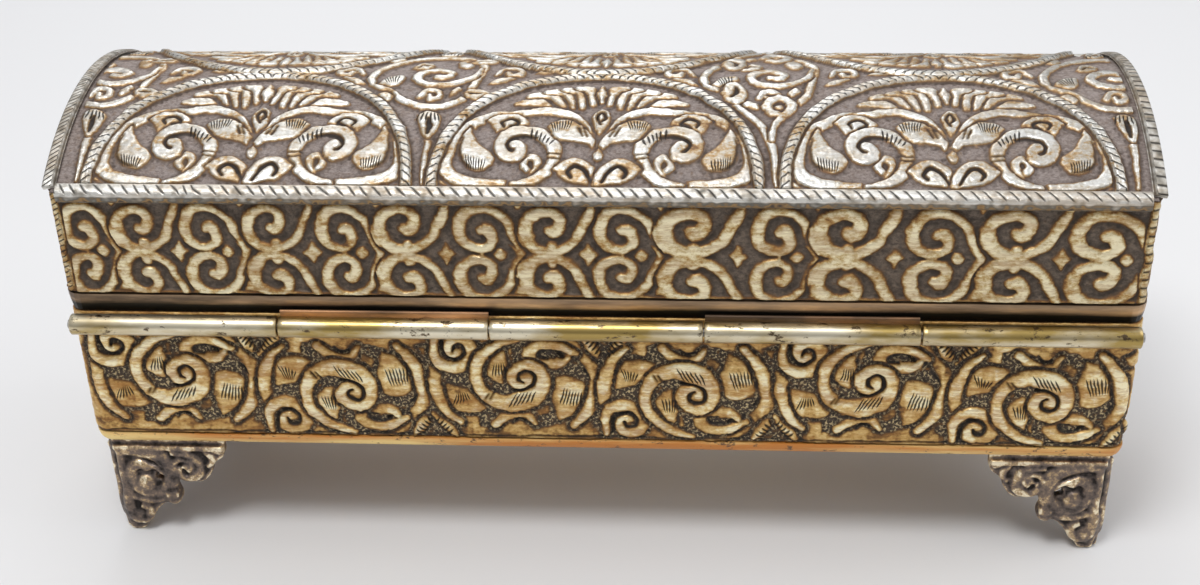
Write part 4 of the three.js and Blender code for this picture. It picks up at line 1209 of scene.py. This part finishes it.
# Materials
class Tree:
    """Adds shader nodes to a material or to the world."""

    def __init__(self, owner, end="Principled BSDF"):
        owner.use_nodes = True
        self.nodes, self.links = owner.node_tree.nodes, owner.node_tree.links
        self.end = self.nodes[end]

    def feed(self, socket, value):
        """Gives a socket another one's output, a colour or a number."""
        if isinstance(value, bpy.types.NodeSocket):
            self.links.new(value, socket)
        else:
            socket.default_value = (*value, 1) if isinstance(value, tuple) else value

    def give(self, name, value):
        """The same for an input of the tree's last node."""
        self.feed(self.end.inputs[name], value)

    def calc(self, kind, a, b=None, clamp=False):
        node = self.nodes.new("ShaderNodeMath")
        node.operation = kind
        node.use_clamp = clamp
        self.feed(node.inputs[0], a)
        if b is not None:
            self.feed(node.inputs[1], b)
        return node.outputs[0]

    def plus(self, a, b, clamp=False):
        return self.calc("ADD", a, b, clamp)

    def minus(self, a, b):
        return self.calc("SUBTRACT", a, b)

    def times(self, a, b, clamp=False):
        return self.calc("MULTIPLY", a, b, clamp)

    def ramp(self, value, stops):
        """Colours, or levels of grey, along a value."""
        node = self.nodes.new("ShaderNodeValToRGB")
        elements = node.color_ramp.elements
        while len(elements) < len(stops):
            elements.new(0.5)
        for element, (position, colour) in zip(elements, stops):
            element.position = position
            element.color = (*(colour if isinstance(colour, tuple) else (colour,) * 3), 1)
        self.feed(node.inputs["Fac"], value)
        return node.outputs["Color"]

    def mixed(self, factor, a, b):
        node = self.nodes.new("ShaderNodeMix")
        node.data_type = "RGBA"
        for socket, value in ((node.inputs["Factor"], factor), (node.inputs[6], a), (node.inputs[7], b)):
            self.feed(socket, value)
        return node.outputs[2]

    def noise(self, scale, detail=5.0, stretch=(1, 1, 1), rough=0.55):
        mapping = self.nodes.new("ShaderNodeMapping")
        mapping.inputs["Scale"].default_value = stretch
        self.feed(mapping.inputs["Vector"], self.nodes.new("ShaderNodeTexCoord").outputs["Object"])
        node = self.nodes.new("ShaderNodeTexNoise")
        node.inputs["Scale"].default_value = scale
        node.inputs["Detail"].default_value = detail
        node.inputs["Roughness"].default_value = rough
        self.feed(node.inputs["Vector"], mapping.outputs["Vector"])
        return node.outputs["Fac"]

    def patches(self, low, high, *noise):
        """0 where a noise is under low, 1 where it is over high."""
        return self.ramp(self.noise(*noise), [(low, 0), (high, 1)])

    def attribute(self, name):
        node = self.nodes.new("ShaderNodeAttribute")
        node.attribute_name = name
        return node.outputs["Fac"]

    def cut_lines(self):
        """1 inside the fine cuts that a relief's phase counts, 0 outside them."""
        comb = self.attribute("comb")
        off = self.calc("ABSOLUTE", self.minus(self.calc("FRACT", self.attribute("phase")), 0.5))
        inside = self.minus(self.times(comb, 0.5), off)
        line = self.plus(self.times(inside, 6.0), 0.5, clamp=True)
        return self.times(line, self.times(comb, 12.0, clamp=True))

    def bump(self, height, deep):
        node = self.nodes.new("ShaderNodeBump")
        node.inputs["Distance"].default_value = deep * MM
        self.feed(node.inputs["Height"], height)
        self.give("Normal", node.outputs["Normal"])


def embossed(
    name, stops, outline, stain, ink, tarnish,
    ground=None, grains=None, specks=None, grain=0.35, metal=0.75, rough=0.38,
):  # fmt: skip
    """Plate over brass: the colour follows the relief's height, with painted shade in the outline colour beside
    its ridges, stains and dark cuts.

    The sunk ground may have patches of a colour, a grain of two colours, or bright specks.
    """
    mat = bpy.data.materials.new(name)
    t = Tree(mat)
    height = t.attribute("height")
    low = t.minus(1.0, t.times(height, 3.0, clamp=True))
    fine = t.minus(t.noise(1100, 5.0, (0.7, 1, 1), 0.7), 0.5)
    broad = t.minus(t.noise(190, 5.0, (0.55, 1, 1.5), 0.65), 0.5)
    shake = t.plus(t.times(fine, 1.1), t.times(broad, 1.9))
    value = t.plus(height, t.times(shake, t.plus(t.times(height, 0.75), grain)))
    colour = t.ramp(value, stops)
    if ground:
        spread = t.patches(0.44, 0.62, 240, 6.0, (0.8, 1, 1), 0.75)
        colour = t.mixed(t.times(t.times(spread, low), 0.75), colour, ground)
    if grains:
        pepper = t.ramp(t.noise(1700, 4.0, (0.6, 1, 1), 0.8), list(zip((0.36, 0.62), grains)))
        colour = t.mixed(t.times(low, 0.6), colour, pepper)
    if specks:
        dots = t.patches(0.52, 0.60, 1500, 2.0)
        colour = t.mixed(t.times(t.times(dots, low), 0.75), colour, specks)
    # painted shade: the outline colour darkens the ground and the channels beside the ridges, most in narrow ones
    painted_shade = t.ramp(t.attribute("hollow"), [(0.05, 0), (0.30, 1)])
    colour = t.mixed(t.times(painted_shade, 0.85), colour, outline)
    blotch = t.times(t.noise(85, 7.0, (0.35, 1, 2.2), 0.72), 0.55)
    streak = t.times(t.noise(520, 5.0, (0.32, 1, 2.4), 0.75), 0.45)
    worn = t.ramp(t.plus(blotch, streak), [(0.46, 0), (0.58, 1)])
    worn = t.times(t.times(worn, tarnish), t.times(height, 1.4, clamp=True))
    colour = t.mixed(worn, colour, stain)
    cut = t.cut_lines()
    dark = t.calc("MAXIMUM", t.times(t.attribute("ink"), 0.93), t.times(cut, 0.92))
    t.give("Base Color", t.mixed(dark, colour, ink))
    t.give("Roughness", t.ramp(value, [(0.15, 0.72), (0.6, rough + 0.12), (0.95, rough - 0.04)]))
    t.give("Metallic", t.ramp(value, [(0.1, 0.20), (0.55, metal)]))
    t.bump(t.minus(t.plus(t.times(fine, 1.1), t.times(broad, 1.6)), cut), 0.14)
    return mat


def plain(name, high, low, roughness, scale, stretch=(1, 1, 1), metallic=0.95, spots=None):
    """Smooth worn metal: tarnish in patches, fine scratches in the roughness, and dark spots if told."""
    mat = bpy.data.materials.new(name)
    t = Tree(mat)
    colour = t.ramp(t.noise(scale, 6.0, stretch), [(0.38, low), (0.60, high)])
    if spots:
        colour = t.mixed(t.patches(0.59, 0.65, 480, 4.0, (0.6, 1, 1), 0.7), colour, spots)
    t.give("Base Color", colour)
    t.give("Metallic", metallic)
    scratches = t.nodes.new("ShaderNodeMapRange")
    scratches.inputs["To Min"].default_value = roughness - 0.10
    scratches.inputs["To Max"].default_value = roughness + 0.15
    t.feed(scratches.inputs["Value"], t.noise(700, 3.0, (0.15, 1, 1)))
    t.give("Roughness", scratches.outputs["Result"])
    return mat


def cove_metal(name, obj):
    """Tarnished sheet, brown above, with painted shade that turns it black towards its lower edge."""
    mat = bpy.data.materials.new(name)
    t = Tree(mat)
    split = t.nodes.new("ShaderNodeSeparateXYZ")
    t.feed(split.inputs["Vector"], t.nodes.new("ShaderNodeTexCoord").outputs["Generated"])
    turn = obj.matrix_world.to_3x3()
    axis = max(range(3), key=lambda k: abs(turn[2][k]))  # the object's own axis that points up
    up = split.outputs[axis]
    if turn[2][axis] < 0:
        up = t.minus(1.0, up)
    patch = t.noise(75, 6.0, (0.3, 1, 2.5), 0.65)
    browns = [(0.36, (0.13, 0.090, 0.060)), (0.50, (0.34, 0.23, 0.14)), (0.64, (0.60, 0.38, 0.20))]
    # painted shade: the lower part of the cove goes black
    above = t.ramp(t.plus(up, t.times(patch, 0.35)), [(0.55, 0), (0.78, 1)])
    t.give("Base Color", t.mixed(above, (0.016, 0.014, 0.011), t.ramp(patch, browns)))
    t.give("Roughness", 0.38)
    t.give("Metallic", 0.7)
    return mat


def cast_metal(name):
    """Dark cast bronze, rubbed brassy and given a painted highlight where the surface stands out."""
    mat = bpy.data.materials.new(name)
    t = Tree(mat)
    grain = t.minus(t.noise(420, 5.0, rough=0.7), 0.5)
    blotch = t.minus(t.noise(150, 4.0), 0.5)
    value = t.plus(t.attribute("height"), t.plus(t.times(grain, 1.5), t.times(blotch, 0.9)))
    stops = [(0.10, (0.026, 0.021, 0.019)), (0.36, (0.120, 0.095, 0.083)), (0.58, (0.225, 0.168, 0.130)),
             (0.71, (0.50, 0.35, 0.19)), (0.84, (0.95, 0.83, 0.60))]  # fmt: skip
    t.give("Base Color", t.ramp(value, stops))
    t.give("Roughness", t.ramp(value, [(0.2, 0.50), (0.8, 0.30)]))
    t.give("Metallic", 0.7)
    t.bump(grain, 0.25)
    return mat


# In each relief metal, outline is the colour of the painted shade beside its ridges.
SILVER = embossed(
    "silvered relief",
    [(0.04, (0.255, 0.205, 0.182)), (0.20, (0.160, 0.108, 0.080)), (0.40, (0.23, 0.120, 0.055)),
     (0.58, (0.48, 0.33, 0.17)), (0.74, (0.58, 0.545, 0.475)), (1.0, (0.84, 0.83, 0.79))],
    outline=(0.060, 0.038, 0.027),
    stain=(0.44, 0.30, 0.155),
    ink=(0.022, 0.017, 0.014),
    tarnish=0.42,
    ground=(0.165, 0.105, 0.070),
    grains=((0.130, 0.100, 0.088), (0.400, 0.350, 0.330)),
    grain=0.30,
    rough=0.34,
    metal=0.85,
)  # fmt: skip
RUBBED = embossed(
    "rubbed relief",
    [(0.04, (0.150, 0.115, 0.085)), (0.24, (0.075, 0.048, 0.030)), (0.44, (0.20, 0.095, 0.036)),
     (0.62, (0.48, 0.29, 0.10)), (0.76, (0.64, 0.50, 0.26)), (0.97, (0.90, 0.80, 0.54))],
    outline=(0.042, 0.030, 0.021),
    stain=(0.34, 0.165, 0.05),
    ink=(0.016, 0.012, 0.009),
    tarnish=0.62,
    ground=(0.070, 0.048, 0.032),
    grains=((0.060, 0.045, 0.034), (0.270, 0.205, 0.155)),
    grain=0.30,
)  # fmt: skip
GILT = embossed(
    "gilt relief",
    [(0.03, (0.070, 0.050, 0.034)), (0.24, (0.050, 0.030, 0.017)), (0.40, (0.22, 0.110, 0.036)),
     (0.56, (0.60, 0.375, 0.125)), (0.78, (0.84, 0.63, 0.29)), (0.96, (1.0, 0.90, 0.60))],
    outline=(0.024, 0.016, 0.010),
    stain=(0.42, 0.19, 0.05),
    ink=(0.016, 0.012, 0.008),
    tarnish=0.75,
    specks=(0.80, 0.62, 0.33),
    grain=0.12,
)  # fmt: skip
BEAD = embossed(
    "silvered bead",
    [(0.0, (0.10, 0.07, 0.05)), (0.12, (0.36, 0.22, 0.09)), (0.30, (0.15, 0.142, 0.122)),
     (0.55, (0.40, 0.37, 0.32)), (0.80, (0.74, 0.72, 0.67))],
    outline=(0.12, 0.085, 0.055),
    stain=(0.50, 0.32, 0.14),
    ink=(0.018, 0.014, 0.011),
    tarnish=0.35,
    grain=-0.1,
)  # fmt: skip
SMOOTH_SILVER = plain("silver plate", (0.72, 0.69, 0.60), (0.34, 0.28, 0.20), 0.32, 90)
SMOOTH_GILT = plain("rubbed plate", (0.66, 0.54, 0.33), (0.42, 0.22, 0.09), 0.36, 60, (0.4, 1, 1))
ROLLED = plain(
    "rolled gilt edge", (0.98, 0.72, 0.28), (0.62, 0.23, 0.04), 0.42, 120, (0.16, 1, 2.2), 0.2,
    spots=(0.16, 0.08, 0.035),
)  # fmt: skip
HINGE = plain(
    "hinge plate", (0.80, 0.73, 0.56), (0.42, 0.30, 0.10), 0.30, 150, (0.3, 1, 1), spots=(0.12, 0.085, 0.05)
)
SOLDER = plain("solder and copper", (0.56, 0.30, 0.15), (0.10, 0.065, 0.042), 0.45, 70, (0.35, 1, 1), 0.6)
COVE = cove_metal("tarnished cove with painted shade", frame["nodes"]["lid_cove"])
CAST = cast_metal("cast bronze")
STEEL = plain("pin wire", (0.45, 0.44, 0.42), (0.25, 0.24, 0.23), 0.35, 150)
BY_SLOT = {"silvered": SMOOTH_SILVER, "gilt": SMOOTH_GILT, "cast_brass": CAST, "pin_steel": STEEL}
BY_NODE = {"lid_cove": COVE, "body_roll": ROLLED}


def dress_nodes():
    """Materials for the CAD nodes that stay in view."""
    for row in frame["record"]["subparts"]:
        obj = frame["nodes"][row["node"]]
        obj.data.materials.clear()
        obj.data.materials.append(BY_NODE.get(row["node"], BY_SLOT[row["material_slot"]]))


# The stage
def place_camera():
    """The photograph's camera, as fitted to the box's corners and outline."""
    yaw, pitch, roll = 0.0733, 0.5274, -0.0254
    focal, picture = 1734.5, 1200  # the focal length and the picture's width, in pixels
    at = Vector((-24.96, 364.87 + SHIFT_Y, 261.69)) * MM
    forward = Vector((math.sin(yaw) * math.cos(pitch), -math.cos(yaw) * math.cos(pitch), -math.sin(pitch)))
    right = Vector((-math.cos(yaw), -math.sin(yaw), 0))
    up = right.cross(forward)
    side = math.cos(roll) * right + math.sin(roll) * up
    top = -math.sin(roll) * right + math.cos(roll) * up
    data = bpy.data.cameras.new("camera")
    data.sensor_width = 36
    data.lens = focal / picture * 36
    data.clip_start = 0.01
    data.clip_end = 10
    cam = bpy.data.objects.new("camera", data)
    bpy.context.scene.collection.objects.link(cam)
    cam.matrix_world = Matrix.Translation(at) @ Matrix((side, top, -forward)).transposed().to_4x4()
    bpy.context.scene.camera = cam


def area_light(name, at, size, power):
    """A round lamp that looks at the box."""
    data = bpy.data.lights.new(name, "AREA")
    data.shape = "DISK"
    data.size = size
    data.energy = power
    light = bpy.data.objects.new(name, data)
    bpy.context.scene.collection.objects.link(light)
    light.location = at
    light.rotation_euler = (Vector((0, 0, 0.06)) - Vector(at)).to_track_quat("-Z", "Y").to_euler()


def studio():
    """A pale floor, a sky that brightens upwards, and three lamps."""
    bpy.ops.mesh.primitive_plane_add(size=6, location=(0, 0, -0.0002))
    floor = bpy.context.object
    floor.name = "floor"
    mat = bpy.data.materials.new("pale floor")
    stone = Tree(mat)
    stone.give("Base Color", (0.775, 0.775, 0.78))
    stone.give("Roughness", 0.9)
    floor.data.materials.append(mat)
    world = bpy.data.worlds.new("world")
    bpy.context.scene.world = world
    sky = Tree(world, "Background")
    split = sky.nodes.new("ShaderNodeSeparateXYZ")
    sky.feed(split.inputs["Vector"], sky.nodes.new("ShaderNodeTexCoord").outputs["Generated"])
    stops = [(0.0, 0.26), (0.30, (0.53, 0.53, 0.54)), (0.75, (0.95, 0.96, 0.99))]
    sky.give("Color", sky.ramp(split.outputs["Z"], stops))
    sky.give("Strength", 0.70)
    area_light("key", (0.12, 0.30, 0.78), 0.26, 2.9)
    area_light("fill", (-0.65, 0.0, 0.5), 0.5, 1.1)
    area_light("back", (0.1, -0.6, 0.6), 0.5, 1.6)


dress_nodes()
lid_vault()
lid_band("lid_back_band", 1, BACK_CENTRES, FINE, 2)
lid_band("lid_front_band", -1, [PAIR_PITCH * (k - 7) - 1.5 for k in range(15)], COARSE)
body_panel("body_back_panel", 1, BACK_ROUNDELS, FINE, 2)
body_panel("body_front_panel", -1, [ROUNDEL_PITCH * (k - 2.5) + 2.6 for k in range(6)], COARSE)
for label, sign in (("left", -1), ("right", 1)):
    lid_end(f"lid_{label}_end", sign)
    body_end(f"body_{label}_panel", sign)
    arch_bead(f"arch_bead_{label}", sign)
    foot(f"foot_back_{label}", sign, 1, 0.28)
    foot(f"foot_front_{label}", sign, -1, 0.45)
eave_bead("eave_bead_back", 1, 0.25)
eave_bead("eave_bead_front", -1, 0.40)
for node in ("body_knuckle_1", "lid_knuckle_2", "body_knuckle_3", "lid_knuckle_4", "body_knuckle_5"):
    knuckle(node)
place_camera()
studio()
bpy.context.scene.view_settings.view_transform = "Standard"
